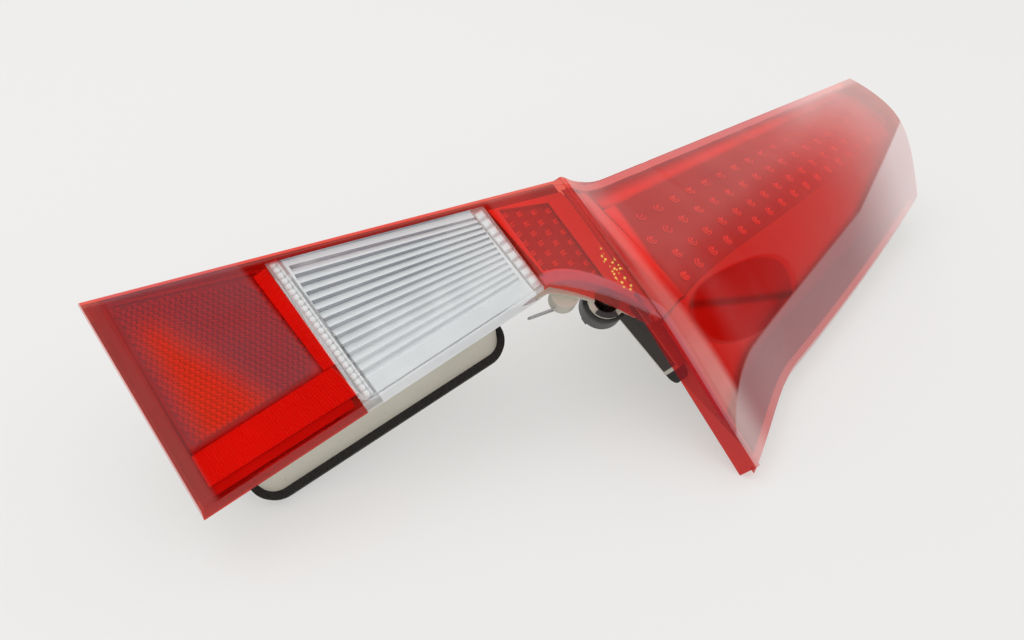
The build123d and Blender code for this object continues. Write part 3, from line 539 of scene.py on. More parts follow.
def lower_zones(s):
    """Shares of the red lens's zones below the crease."""
    below = s.rest(s.zone(above=s.x))
    cell = s.zone(cell_low=s.x, cell_seam=s.line(s.y, CELL_LEAN, s.x), cell_outer=s.y)
    # Painted glow where the reflex cells send light back
    painted_glow = painted_reflex_glow(s)
    run = s.less(s.x, ARCH_POINT[0])
    bent = s.product(run, s.less(s.x, ARCH_TURN), ARCH_BEND)
    arch = s.sum(s.line(run, ARCH_SLOPE, ARCH_POINT[1]), bent)
    level = s.zone(level=s.faces(2))
    pink = s.product(s.zone(pink=s.less(arch, s.y)), s.band(s.x, *PINK_RUN), level)
    return {
        "strip": s.product(s.zone(strip=s.line(s.x, INNER_LEAN, s.y)), below),
        "lit_cell": s.product(painted_glow, cell),
        "dim_cell": s.product(cell, s.rest(painted_glow)),
        "low_end": s.zone(low_end=s.x),
        "pink": pink,
        "frame": s.product(s.band(s.x, *FRAME_RUN), s.rest(pink), level),
        "wall": s.product(s.rest(level), below),
        "low_wall": s.zone(low_wall=s.x),
        # Walls near the shoulder's tip: painted shade under the lip
        "tip_wall": s.zone(tip_wall=s.x),
    }


def veil_share(s, zones):
    """How milky the red lens is: its own haze, with painted highlight, glow and shade in some zones."""
    veils = {
        "roll": s.line(zones["corner"], *ROLL_HIGHLIGHT_VEIL),
        "climb": s.line(zones["upper_face"], *CLIMB_VEIL),
        "wall": s.line(zones["tip_wall"], *WALL_VEIL),
        **VEILS,
    }
    haze = s.weighed((zones[name], veil) for name, veil in veils.items())
    dusty = s.product(s.sum(haze, s.zone(dust=s.noise(900, 4.0))), s.zone(cloud=s.noise(24)))
    flange = zones["flange"]
    flange_veil = s.line(zones["flange_edge"], EDGE_VEIL, s.zone(flange_veil=zones["foot_end"]))
    fade = s.line(zones["fade"], FADE_VEIL, LEAST_VEIL)
    veil = s.sum(s.product(dusty, s.rest(flange)), s.product(flange, flange_veil), fade)
    front = zones["front_wall"]
    walled = s.line(front, FRONT_VEIL, s.product(veil, s.rest(front)))
    outside = s.product(s.math("MINIMUM", walled, MOST_VEIL), s.front())
    return s.line(zones["upright"], UPRIGHT_SHADE_VEIL, outside)


def veil_tone(s, zones, tones):
    """Colour of the red lens's milky veil, where it also paints highlight, glow and shade."""
    def over(base, name):
        return s.mix(zones[name], base, tones[name])

    purple = s.most(zones["blade_edge"], zones["pink"], zones["dim_cell"])
    plain = s.mix(purple, tones["plain"], tones["purple"])
    wall = over(over(tones["arch_wall"], "tip_wall"), "low_wall")
    cells = over(s.mix(zones["wall"], plain, wall), "lit_cell")
    # Painted highlight along the roll, at the lower corner
    roll_highlighted = s.mix(s.product(zones["roll"], zones["corner"]), cells, tones["roll"])
    flange = over(over(tones["flange"], "foot_end"), "flange_edge")
    pale = s.mix(zones["flange"], tones["faded"], tones["faded_flange"])
    faded = s.mix(zones["fade"], s.mix(zones["flange"], roll_highlighted, flange), pale)
    front = s.mix(s.zone(front_shade=s.y), tones["front_wall"], tones["front_foot"])
    return over(s.mix(zones["front_wall"], faded, front), "upright")


def painted_glints(s):
    """Where painted gold glints show behind the shoulder's frame."""
    spots = s.spots(SPARKLE_GRAIN)
    offsets = (s.less(s.x, SPARKLE_PLACE[0]), s.less(s.y, SPARKLE_PLACE[1]))
    shares = [s.math("DIVIDE", offset, reach) for offset, reach in zip(offsets, SPARKLE_REACH)]
    near = s.weighed((share, share) for share in shares)
    chance = s.add("ShaderNodeSeparateColor", {0: spots["Color"]}).outputs[0]
    glints = s.zone(spark_near=near, spark_pick=chance, spark_point=spots["Distance"])
    return s.product(glints, s.front(), SPARKLE_SHARE)


def red_lens_material():
    """Clear red plastic with a milky veil, partly its own haze and partly painted highlight, glow and shade:
    thick on the blade's flange and rolls, thin on the cells.
    """
    s = Shading("red_lens_plastic")
    zones = {**blade_zones(s), **lower_zones(s)}
    face_tint = s.cloudy((0.98, 0.375, 0.315, 1), (0.97, 0.345, 0.285, 1), 14, 2.0)
    deep = s.most(s.product(zones["wall"], zones["low_wall"]), zones["front_wall"])
    tint = s.mix(deep, face_tint, (0.97, 0.22, 0.17, 1))
    body = s.blend(veil_share(s, zones), s.clear(tint), s.matt(veil_tone(s, zones, VEIL_TONES)))
    glinting = s.blend(painted_glints(s), body, s.matt(GLINT_TONE))
    ripple = s.bump(s.noise(60, 2.0), 0.03, 0.001)
    gloss = s.gloss(0.11, (0.92, 0.9, 0.9, 1), Normal=ripple)
    return s.finish(s.blend(s.outer_gloss(1.4, 0.04), glinting, gloss))


def seam_line(seam, shift):
    """Slope over y and start of the line that lies a shift in x beside a seam."""
    start, end = seam
    slope = (end.x - start.x) / (end.y - start.y)
    return slope, start.x - slope * start.y + shift


def clear_lens_material():
    """Clear plastic: the outer face passes light, the fluted back is white with painted grey shade on the
    slopes that face one way.
    """
    s = Shading("clear_lens_plastic")
    outward = s.faces(2)
    # Painted grey shade on the flutes' slopes facing one way, in place of their refraction
    slope = s.zone(flute_slope=s.faces(1), flute_outer=s.y, flute_streak=s.noise(30))
    colour = s.mix(slope, s.cloudy((250, 251, 252), (232, 236, 238), 55), (150, 154, 162))
    past_low = s.less(s.x, s.line(s.y, *seam_line(LOW_SEAM, SEAM_BAND)))
    past_high = s.less(s.x, s.line(s.y, *seam_line(HIGH_SEAM, -SEAM_BAND)))
    fluted = s.line(s.zone(past_low_seam=past_low, past_high_seam=past_high), *CLEAR_FROST)
    frost_share = s.product(fluted, s.zone(clear_steep=s.size(outward)))
    frost = s.blend(frost_share, s.clear((0.97, 0.975, 0.975, 1)), s.matt(colour))
    sheen = s.blend(0.1, frost, s.gloss(0.2))
    outer = s.blend(s.outer_gloss(1.45), s.clear((0.985, 0.99, 0.99, 1)), s.gloss(0.08))
    return s.finish(s.blend(s.zone(clear_face=outward), sheen, outer))


def reflex_material():
    """Deep red honeycomb prisms, with a painted glow where they send light back and painted light and shade
    on their facets.
    """
    s = Shading("reflex_prisms")
    painted_glow = painted_reflex_glow(s)
    # Painted light and shade on the prisms: facets facing one way are lighter than the others
    facing_shade = s.zone(prism_facet=s.faces(0))
    dim = s.mix(facing_shade, (158, 92, 98), (206, 124, 128))
    bright = s.mix(facing_shade, (222, 150, 132), (255, 244, 232))
    colour = s.mix(s.product(painted_glow, s.zone(prism_grain=s.noise(420, 2.0))), dim, bright)
    return s.solid(colour, 0.35, Metallic=s.product(painted_glow, PRISM_MIRROR))


def panel_material(name, light, dark, rough, grain=700):
    """Moulded inner plastic with a little cloudiness and a fine frost."""
    s = Shading(name)
    return s.plastic(s.cloudy(light, dark), rough, grain)


def optic_material():
    """Frosted panel: darker on the flat, with a painted highlight on the dots' slopes that face one way."""
    s = Shading("optic_panel")
    panel = s.mix(s.zone(optic_pale=s.x), s.cloudy((186, 140, 142), (168, 122, 126)), (220, 174, 172))
    rim = s.zone(optic_rim=s.less(s.line(s.y, *OPTIC_RIM_LINE), s.x))
    blade = s.mix(rim, panel, (255, 238, 230))
    on_blade = s.zone(optic_blade=s.x)
    base = s.mix(on_blade, s.cloudy((200, 150, 156), (178, 130, 138)), blade)
    # Painted highlight on the dots' slopes, by the way each slope faces
    up = s.faces(2)
    along = s.faces(0)
    blade_dot_highlight = s.zone(blade_dot=up, blade_dot_side=along)
    shoulder_dot_highlight = s.zone(shoulder_dot=up, shoulder_dot_side=along)
    slope = s.weighed(((blade_dot_highlight, on_blade), (shoulder_dot_highlight, s.rest(on_blade))))
    bright = s.mix(on_blade, (255, 232, 226), (255, 250, 246))
    return s.plastic(s.mix(slope, base, bright), 0.3, strength=0.15)


def dish_shares(s):
    """Where the oval dish in the blade's side lies, and how near a point is to the fold across it."""
    across = s.less(s.x, DISH_PLACE.x)
    along = s.less(s.y, DISH_PLACE.y)
    cosine = math.cos(DISH_TURN)
    sine = math.sin(DISH_TURN)
    ways = (s.line(along, sine, s.product(across, cosine)), s.line(along, cosine, s.product(across, -sine)))
    shares = [s.math("DIVIDE", s.size(way), reach) for way, reach in zip(ways, DISH_REACH)]
    near = s.sum(*(s.math("POWER", share, DISH_FULLNESS) for share in shares))
    shift = DISH_PLACE - FOLD_PLACE
    to_fold = s.line(along, FOLD_ACROSS.y, s.line(across, FOLD_ACROSS.x, shift.dot(FOLD_ACROSS)))
    return s.zone(dish=near), s.zone(fold=s.size(to_fold), dish=near)


def side_material():
    """Smooth moulded inner side, with painted shade in the oval dish, darkest along its fold."""
    s = Shading("smooth_side")
    dish_shade_share, crease = dish_shares(s)
    # Painted shade in the dish and along its fold
    dark = s.mix(crease, (180, 98, 92), (134, 78, 74))
    return s.plastic(s.mix(dish_shade_share, s.cloudy(*SIDE_TONES), dark), 0.4)


def crease_material():
    """Bright band beside the crease, which fades out at its lower end."""
    s = Shading("crease_band")
    fade = s.zone(crease_fade=s.y)
    return s.plastic(s.mix(fade, s.cloudy(*BRIGHT_TONES), s.cloudy(*SIDE_TONES)), 0.35, 900)


def margin_material():
    """Dull plastic behind the lens's margins, darker at the lamp's low end."""
    s = Shading("dull_margin")
    plain = s.cloudy((234, 184, 180), (216, 168, 166))
    dark = s.cloudy((186, 110, 114), (168, 100, 104))
    return s.plastic(s.mix(s.zone(low_end=s.x), plain, dark), 0.45)


def strip_material():
    """Inner strip of the blade: a bright streak along its middle."""
    s = Shading("blade_strip")
    streak = s.product(s.band(s.y, *STREAK_RUN), s.zone(streak_gaps=s.noise(30, 2.0)))
    return s.plastic(s.mix(streak, (196, 142, 142), (255, 240, 234)), 0.4, 900)


def housing_material():
    """Beige-grey moulded plastic with fine grain and a little dust in it."""
    s = Shading("housing_plastic")
    cloud = s.noise(18, 4.0, 0.6)
    clean = s.mix(cloud, (206, 202, 188), (190, 185, 170))
    colour = s.mix(s.zone(specks=s.noise(750, 2.0, 0.6)), clean, (110, 102, 88))
    grain = s.bump(s.noise(1500), 0.22, 0.0006)
    return s.solid(colour, s.zone(housing_rough=cloud), Normal=grain)


def foam_material():
    """Closed-cell black foam with open pores on its cut faces."""
    s = Shading("gasket_foam")
    pores = s.spots(900)["Distance"]
    colour = s.mix(s.zone(pores=pores), (14, 12, 11), (38, 34, 32))
    return s.solid(colour, 0.9, Normal=s.bump(pores, 0.5, 0.0008))


def reflector_material():
    """Vacuum-metallised plastic with faint waviness."""
    s = Shading("metallised_tray")
    wave = s.bump(s.noise(45, 2.0), 0.12, 0.001)
    colour = s.cloudy((0.86, 0.87, 0.87, 1), (0.78, 0.79, 0.8, 1), 25, 2.0)
    return s.solid(colour, s.zone(tray_rough=s.noise(160)), Metallic=0.75, Normal=wave)


def bulb_material():
    """Thin clear glass, a little uneven."""
    s = Shading("bulb_glass")
    tint = s.cloudy((0.93, 0.94, 0.94, 1), (0.86, 0.88, 0.88, 1), 120, 2.0)
    return s.finish(s.blend(s.outer_gloss(1.6), s.clear(tint), s.gloss(0.04)))


def metal_material(name, light, dark, rough):
    """Bare metal with fine scratches and uneven gloss."""
    s = Shading(name)
    brushed = s.noise(500)
    spread = s.ramp(brushed, 0.3, 0.7, rough - 0.08, rough + 0.1)
    scratch = s.bump(brushed, 0.08, 0.0004)
    return s.solid(s.cloudy(light, dark, 80), spread, Metallic=1.0, Normal=scratch)


MATERIALS = {
    "red_lens": red_lens_material(),
    "clear_lens": clear_lens_material(),
    "reflex_red": reflex_material(),
    "optic_red": optic_material(),
    "cup_red": panel_material("cup_plastic", (232, 190, 180), (214, 166, 158), 0.3),
    "housing": housing_material(),
    "foam": foam_material(),
    "reflector": reflector_material(),
    "bulb": bulb_material(),
    "socket": panel_material("socket_plastic", (24, 23, 22), (46, 44, 42), 0.45, 1200),
    "seal": panel_material("seal_rubber", (20, 19, 19), (34, 33, 33), 0.7, 1200),
    "terminal": metal_material("terminal_brass", (0.78, 0.66, 0.4, 1), (0.62, 0.5, 0.28, 1), 0.3),
    "stud": metal_material("stud_zinc", (0.72, 0.72, 0.7, 1), (0.55, 0.55, 0.54, 1), 0.34),
    "wire": metal_material("spring_steel", (0.5, 0.5, 0.5, 1), (0.36, 0.36, 0.37, 1), 0.32),
    "breather": panel_material("breather_plastic", (28, 28, 28), (50, 50, 50), 0.6, 1200),
}
BRIGHT = panel_material("bright_frame", *BRIGHT_TONES, 0.35, 900)
CREASE_RED = crease_material()
DULL = margin_material()
RECESS_SHADE = panel_material("recess_shade", (58, 50, 44), (40, 33, 30), 0.8, 900)
SIDE_RED = side_material()
STRIP_RED = strip_material()
SEAM_WHITE = panel_material("seam_white", (253, 253, 252), (242, 243, 243), 0.35, 900)

for node in frame["nodes"].values():
    for holder in node.material_slots:
        holder.material = MATERIALS[holder.material.name.split(".")[0]]


def new_object(name, data):
    """An object in the scene that holds a mesh, a camera or a light."""
    holder = bpy.data.objects.new(name, data)
    bpy.context.scene.collection.objects.link(holder)
    return holder


def new_mesh(name, bm, material):
    """A mesh of one material, made of a bmesh that is then done with."""
    mesh = bpy.data.meshes.new(name)
    bm.to_mesh(mesh)
    bm.free()
    mesh.materials.append(material)
    return mesh


def add_piece(name, bm, material, smooth=False):
    """Makes a piece of a mesh whose points are in the lamp's frame in millimetres."""
    bm.transform(LAMP_MM)
    bmesh.ops.recalc_face_normals(bm, faces=bm.faces)
    piece = new_object(name, new_mesh(name, bm, material))
    for face in piece.data.polygons:
        face.use_smooth = smooth
    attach(piece, "root")
    return piece


def on_circle(middle, reach, turn, z):
    """A point at a reach and a turn round a plan point."""
    return (middle[0] + reach * math.cos(turn), middle[1] + reach * math.sin(turn), z)


def skin(bm, rings, closed=False):
    """Faces along rings that have as many points each: closed to a loop, or with a face at each end."""
    rows = [[bm.verts.new(point) for point in ring] for ring in rings]
    for here, there in zip(rows, rows[1:] + (rows[:1] if closed else [])):
        for corner in range(len(here)):
            after = (corner + 1) % len(here)
            bm.faces.new((here[corner], here[after], there[after], there[corner]))
    if not closed:
        bm.faces.new(rows[0])
        bm.faces.new(rows[-1][::-1])


def plate_mesh(outlines, top):
    """A flat sheet with openings: the first outline is its edge, the others are cut out of it."""
    curve = bpy.data.curves.new("plate", "CURVE")
    curve.dimensions = "2D"
    curve.fill_mode = "BOTH"
    curve.extrude = SHEET_WALL / 2
    for outline in outlines:
        spline = curve.splines.new("POLY")
        spline.points.add(len(outline) - 1)
        for point, (x, y) in zip(spline.points, outline):
            point.co = (x, y, 0, 1)
        spline.use_cyclic_u = True
    holder = bpy.data.objects.new("plate", curve)
    mesh = bpy.data.meshes.new_from_object(holder)
    bm = bmesh.new()
    bm.from_mesh(mesh)
    bpy.data.objects.remove(holder)
    bpy.data.curves.remove(curve)
    bpy.data.meshes.remove(mesh)
    bmesh.ops.translate(bm, verts=bm.verts, vec=(0, 0, top - SHEET_WALL / 2))
    bmesh.ops.remove_doubles(bm, verts=bm.verts, dist=0.001)
    return bm


def inside(point, outline):
    """Whether a plan point lies inside an outline."""
    x, y = point
    within = False
    for (x1, y1), (x2, y2) in zip(outline, outline[1:] + outline[:1]):
        if (y1 > y) != (y2 > y) and x < x1 + (y - y1) * (x2 - x1) / (y2 - y1):
            within = not within
    return within


def hexagon_cell(bm, x, y, radius):
    """One prism cell: three raised and three sunk corners round its middle, on a closed foot."""
    peak = bm.verts.new((x, y, REFLEX_TOP))
    rim = []
    for corner in range(6):
        drop = CELL_RISE if corner % 2 else CELL_RISE / 2
        spot = on_circle((x, y), radius, math.pi / 3 * corner, REFLEX_TOP - drop)
        rim.append(bm.verts.new(spot))
    foot = [bm.verts.new((v.co.x, v.co.y, REFLEX_TOP - REFLEX_DEPTH)) for v in rim]
    for corner in range(6):
        after = (corner + 1) % 6
        bm.faces.new((peak, rim[corner], rim[after]))
        bm.faces.new((rim[corner], foot[corner], foot[after], rim[after]))
    bm.faces.new(foot[::-1])


def add_reflex():
    """The reflex reflector as a plate of hexagonal prism cells."""
    bm = bmesh.new()
    row_step = CELL_PITCH * math.sqrt(3) / 2
    radius = CELL_PITCH / math.sqrt(3)
    xs = [x for x, y in REFLEX_OUTLINE]
    ys = [y for x, y in REFLEX_OUTLINE]
    for column in range(int((max(ys) - min(ys)) / row_step) + 1):
        for row in range(int((max(xs) - min(xs)) / CELL_PITCH) + 1):
            x = min(xs) + (row + 0.5 * (column % 2)) * CELL_PITCH
            y = min(ys) + column * row_step
            if inside((x, y), REFLEX_OUTLINE):
                hexagon_cell(bm, x, y, radius)
    piece = add_piece("reflex_cells", bm, MATERIALS["reflex_red"])
    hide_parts("reflex_reflector")


def rib_run(bm, inner, outer):
    """Prismatic ribs side by side, each from the inner to the outer line."""
    lines = [[Vector(end) for end in line] for line in (inner, outer)]
    count = int((lines[0][1] - lines[0][0]).length / RIB_PITCH)
    valley = RIB_TOP - RIB_RISE
    for index in range(count):
        low, middle, high = (index / count, (index + 0.5) / count, (index + 1) / count)
        corners = ((low, RIB_BASE), (low, valley), (middle, RIB_TOP), (high, valley), (high, RIB_BASE))
        skin(bm, [[(*start.lerp(end, share), z) for share, z in corners] for start, end in lines])


def add_lower_frame():
    """Ribs round the lower red cell, the sheet behind them and the margin beside them."""
    bm = bmesh.new()
    for inner, outer in RIB_RUNS.values():
        rib_run(bm, inner, outer)
    add_piece("lower_ribs", bm, BRIGHT)
    bm = bmesh.new()
    rib_run(bm, *TOP_RIBS)
    add_piece("lower_top_ribs", bm, SIDE_RED)
    backing = plate_mesh([LOWER_BACKING], LOWER_BACKING_TOP)
    add_piece("lower_backing", backing, SIDE_RED)
    add_piece("lower_margin", plate_mesh([LOWER_MARGIN], SHEET_TOP), DULL)


def arch_line(x):
    """The curve where the shoulder's bright frame meets the pink margin along the arch."""
    run = x - ARCH_POINT[0]
    return ARCH_POINT[1] + ARCH_SLOPE * run + ARCH_BEND * run * (x - ARCH_TURN)


def add_shoulder_frame():
    """The bright frame round the shoulder's dotted panel, and the dull skirt along the arch."""
    edge = [*FRAME_SIDE, *((x, arch_line(x)) for x in ARCH_FRAME)]
    window = [*WINDOW_SIDE, *((x, arch_line(x) + WINDOW_CLEAR) for x in ARCH_WINDOW)]
    add_piece("shoulder_frame", plate_mesh([edge, window], SHEET_TOP), BRIGHT)
    inner = [(x, arch_line(x) - SKIRT_GAP) for x in ARCH_SKIRT]
    first, last = SKIRT_WIDTH
    steps = len(ARCH_SKIRT) - 1
    outer = [(x, y - first - (last - first) * index / steps) for index, (x, y) in enumerate(inner)]
    add_piece("shoulder_skirt", plate_mesh([inner + outer[::-1]], SHEET_TOP), DULL)


def surface_tree(name):
    """A node's mesh, ready for rays."""
    mesh = frame["nodes"][name].data
    return BVHTree.FromPolygons([v.co for v in mesh.vertices], [p.vertices for p in mesh.polygons])


LENS = surface_tree("red_lens")
DOWN = -LAMP_AXES.col[2]


def lens_face(x, y):
    """Heights of the red lens's outer and inner face over a plan point, or None beside it."""
    outer = LENS.ray_cast(at(x, y, RAY_TOP), DOWN)[0]
    if outer is None:
        return None
    inner = LENS.ray_cast(outer + DOWN * RAY_SKIN, DOWN)[0] or outer
    return (LAMP_BACK @ outer).z, (LAMP_BACK @ inner).z


def blade_edges(x):
    """The blade's inner and outer edge at a height, found on the lens itself."""
    found = [y for y in range(*BLADE_SCAN, -1) if lens_face(x, y) is not None]
    return found[0], found[-1]


OPTIC = surface_tree("blade_optic")


def optic_edges(x):
    """The blade optic's inner and outer edge at a height, or None where there is no optic."""
    inner, outer = blade_edges(x)
    steps = [inner - step / OPTIC_SCAN for step in range(int((inner - outer) * OPTIC_SCAN))]
    found = [y for y in steps if OPTIC.ray_cast(at(x, y, RAY_TOP), DOWN)[0] is not None]
    return (found[0], found[-1]) if found else None


def span(first, second):
    """Edges at two shares of the way from the blade's inner to its outer edge."""
    def edges(x):
        inner, outer = blade_edges(x)
        return inner + (outer - inner) * first, inner + (outer - inner) * second
    return edges


def beside_optic(x):
    """Edges of the strip between the blade's inner edge and the optic."""
    optic = optic_edges(x)
    near, far = span(INNER_SHARE, OPTIC_SHARES[0])(x)
    return near, optic[0] + OPTIC_GAP if optic else far


def below_optic(x):
    """Edges of the smooth side, from the optic to the flange."""
    optic = optic_edges(x)
    climb = min(1.0, max(0.0, (x - FLANGE_BEND) / (BLADE_END - FLANGE_BEND)))
    near, far = span(OPTIC_SHARES[1], FLANGE_SHARE + (TOP_SHARE - FLANGE_SHARE) * climb)(x)
    return optic[1] - OPTIC_GAP if optic else near, far


def dish(x, y):
    """Depth of the oval dish at a plan point."""
    flat = Matrix.Rotation(-DISH_TURN, 2) @ (Vector((x, y)) - DISH_PLACE)
    shares = (abs(flat.x) / DISH_REACH[0], abs(flat.y) / DISH_REACH[1])
    reach = sum(share ** DISH_FULLNESS for share in shares)
    if reach >= 1:
        return 0.0
    slope = min(1.0, (1 - reach) / DISH_WALL)
    fold = abs((Vector((x, y)) - FOLD_PLACE).dot(FOLD_ACROSS))
    return slope * slope * (3 - 2 * slope) * (DISH_DEPTH - DISH_SLOPE * fold)


def blade_sheet(start, end, edges, step=BLADE_STEP, sink=None):
    """A thin closed sheet that follows the blade's face, a little under it, between two edges."""
    bm = bmesh.new()
    rows = max(2, round((end - start) / step))
    widest = max(near - far for near, far in (edges(start), edges(end)))
    columns = max(3, round(widest / step))
    grid = {}
    for row in range(rows + 1):
        x = start + (end - start) * row / rows
        near, far = edges(x)
        for column in range(columns + 1):
            y = near + (far - near) * column / columns
            face = lens_face(x, y)
            if face is None or face[0] - face[1] > DEEP_WALL:
                continue
            drop = BLADE_DROP + (sink(x, y) if sink else 0.0)
            z = min(face[0] - drop, face[1] - LENS_CLEAR)
            top = bm.verts.new((x, y, z))
            grid[row, column] = (top, bm.verts.new((x, y, z - BLADE_SHEET_WALL)))
    for row in range(rows):
        for column in range(columns):
            corners = [(row, column), (row + 1, column), (row + 1, column + 1), (row, column + 1)]
            if all(corner in grid for corner in corners):
                bm.faces.new([grid[corner][0] for corner in corners])
                bm.faces.new([grid[corner][1] for corner in reversed(corners)])
    rim = [edge for edge in bm.edges if edge.is_boundary]
    tops = dict(grid.values())
    for edge in rim:
        first, second = edge.verts
        if first in tops and second in tops:
            bm.faces.new((first, second, tops[second], tops[first]))
    loose = [vert for vert in bm.verts if not vert.link_faces]
    bmesh.ops.delete(bm, geom=loose, context="VERTS")
    return bm


def rise_to_frame(x, _):
    """How much less the roll's sheet lies under the lens, so that it meets the shoulder's frame."""
    share = max(0.0, (x - ROLL_BEND) / (BLADE_START - ROLL_BEND))
    return (ROLL_DROP - BLADE_DROP) * (1 - share)


def optic_heights():
    """The heights between which the blade optic lies."""
    found = [x for x in range(int(BLADE_START), int(BLADE_END)) if optic_edges(x)]
    return found[0], found[-1]


def add_blade_sheets():
    """The sheets behind the blade's face: round its optic, over the roll and in its smooth side."""
    low, high = optic_heights()
    band_edges = span(INNER_SHARE, BAND_SHARE)
    band = blade_sheet(BLADE_START, low - OPTIC_END_GAP, band_edges, FINE_STEP)
    roll = blade_sheet(ROLL_START, BLADE_START - ROLL_GAP, band_edges, ROLL_STEP, rise_to_frame)
    sheets = {
        "blade_inner_strip": (STRIP_RED, blade_sheet(low, high, beside_optic)),
        "blade_crease_band": (CREASE_RED, band),
        "blade_roll_band": (SIDE_RED, roll),
        "blade_top_sheet": (SIDE_RED, blade_sheet(high + OPTIC_END_GAP, BLADE_END, band_edges)),
        "blade_side_panel": (SIDE_RED, blade_sheet(SIDE_START, BLADE_END, below_optic, FINE_STEP, dish)),
    }
    for name, (material, sheet) in sheets.items():
        add_piece(name, sheet, material, smooth=True)


def dot_places():
    """Places of the blade optic's dots, known by the small squares that cut off their tips."""
    mesh = frame["nodes"]["blade_optic"].data
    found = []
    for face in mesh.polygons:
        corners = [LAMP_BACK @ mesh.vertices[index].co for index in face.vertices]
        sides = sorted(zip(corners, corners[1:] + corners[:1]), key=lambda ends: (ends[0] - ends[1]).length)
        if any(abs((first - second).length - TIP_SIDE) > TIP_FIT for first, second in sides[:2]):
            continue
        middle = (sides[-1][0] + sides[-1][1]) / 2
        if all((middle - other).length > TIP_SIDE for other in found):
            found.append(middle)
    return found


def add_dot_rings():
    """A rounded bright ring round each dot of the blade's optic, lying on its face: a painted highlight."""
    rolls = [math.tau * side / RING_SIDES for side in range(RING_SIDES)]
    tube = [(RING_RADIUS + RING_TUBE * math.cos(roll), RING_TUBE * math.sin(roll)) for roll in rolls]
    bm = bmesh.new()
    for spot in dot_places():
        sections = []
        for step in range(RING_STEPS):
            turn = math.tau * step / RING_STEPS
            probe = on_circle(spot, RING_RADIUS + RING_CLEAR, turn, RAY_TOP)
            hit = OPTIC.ray_cast(at(*probe), DOWN)[0]
            height = spot.z - RING_CLEAR if hit is None else (LAMP_BACK @ hit).z
            sections.append([on_circle(spot, reach, turn, height + rise) for reach, rise in tube])
        skin(bm, sections, closed=True)
    add_piece("blade_optic_highlight_rings", bm, BRIGHT, smooth=True)


def seam_axes(seam):
    """Start, direction along a seam, direction across it and its length."""
    start, end = seam
    along = (end - start).normalized()
    return start, along, Vector((-along.y, along.x)), (end - start).length


def seam_spots(seam, pitch, beside):
    """Plan points in a row beside a seam."""
    start, along, across, length = seam_axes(seam)
    return [start + along * pitch * (index + 0.5) + across * beside for index in range(int(length / pitch))]


def seam_block(bm, seam, spot, length, width, bevel):
    """One moulded block under the clear lens, with a bevelled top."""
    along, across = seam_axes(seam)[1:3]
    rings = []
    for inset, drop in ((bevel, 0), (0, bevel), (0, TOOTH_DEPTH)):
        reach = along * (length / 2 - inset)
        side = across * (width / 2 - inset)
        rings.append([(*(spot + reach * u + side * v), BEAD_TOP - drop) for u, v in SQUARE])
    skin(bm, rings)


def add_seams():
    """White mouldings along both ends of the clear section: beads with a rail, and teeth."""
    flat = Matrix.Diagonal((BEAD_RADIUS, BEAD_RADIUS, BEAD_DEPTH, 1))
    bm = bmesh.new()
    for spot in seam_spots(LOW_SEAM, BEAD_PITCH, BEAD_SET):
        place = Matrix.Translation((*spot, BEAD_TOP - BEAD_DEPTH))
        bmesh.ops.create_icosphere(bm, subdivisions=BEAD_ROUNDS, radius=1.0, matrix=place @ flat)
    add_piece("low_seam_beads", bm, SEAM_WHITE, smooth=True)
    rail = (BEAD_PITCH - RAIL_GAP, RAIL_WIDTH, TOOTH_BEVEL / 2)
    tooth = (TOOTH_LENGTH, TOOTH_WIDTH, TOOTH_BEVEL)
    rows = {
        "low_seam_rail": (LOW_SEAM, BEAD_PITCH, RAIL_SET, rail),
        "high_seam_teeth": (HIGH_SEAM, TOOTH_PITCH, -TOOTH_SET, tooth),
    }
    for name, (seam, pitch, beside, block) in rows.items():
        bm = bmesh.new()
        for spot in seam_spots(seam, pitch, beside):
            seam_block(bm, seam, spot, *block)
        add_piece(name, bm, SEAM_WHITE)
    for name, seam, side in (("low_seam_backing", LOW_SEAM, 1), ("high_seam_backing", HIGH_SEAM, -1)):
        start, end = seam
        near, far = (seam_axes(seam)[2] * reach * side for reach in BACKING_REACH)
        outline = (start + near, end + near, end + far, start + far)
        add_piece(name, plate_mesh([outline], BACKING_TOP), SEAM_WHITE)


def prism(bm, outline, *shifts):
    """A solid between two shifted copies of an outline of points."""
    skin(bm, [[Vector(point) + Vector(shift) for point in outline] for shift in shifts])


def add_apron_parts():
    """A dark plate that paints the shade inside the box under the shoulder, and the foam frame's end beside
    it.
    """
    bm = bmesh.new()
    prism(bm, [(APRON_FACE, y, z) for y, z in APRON_RECESS], (0, 0, 0), (-RECESS_WALL, 0, 0))
    add_piece("apron_recess", bm, RECESS_SHADE)
    half = (FOAM_END_TOP - FOAM_END_FOOT) / 2
    middle = (FOAM_END_TOP + FOAM_END_FOOT) / 2
    turns = [math.pi * step / FOAM_END_STEPS for step in range(FOAM_END_STEPS + 1)]
    bows = [(FOAM_END_REACH * math.sin(turn), half * math.cos(turn)) for turn in turns]
    outline = [(0, APRON_SIDE - reach, middle + rise) for reach, rise in bows]
    bm = bmesh.new()
    prism(bm, outline, (FOAM_END_RUN[0], 0, 0), (FOAM_END_RUN[1], 0, 0))
    add_piece("upper_gasket_end", bm, MATERIALS["foam"])


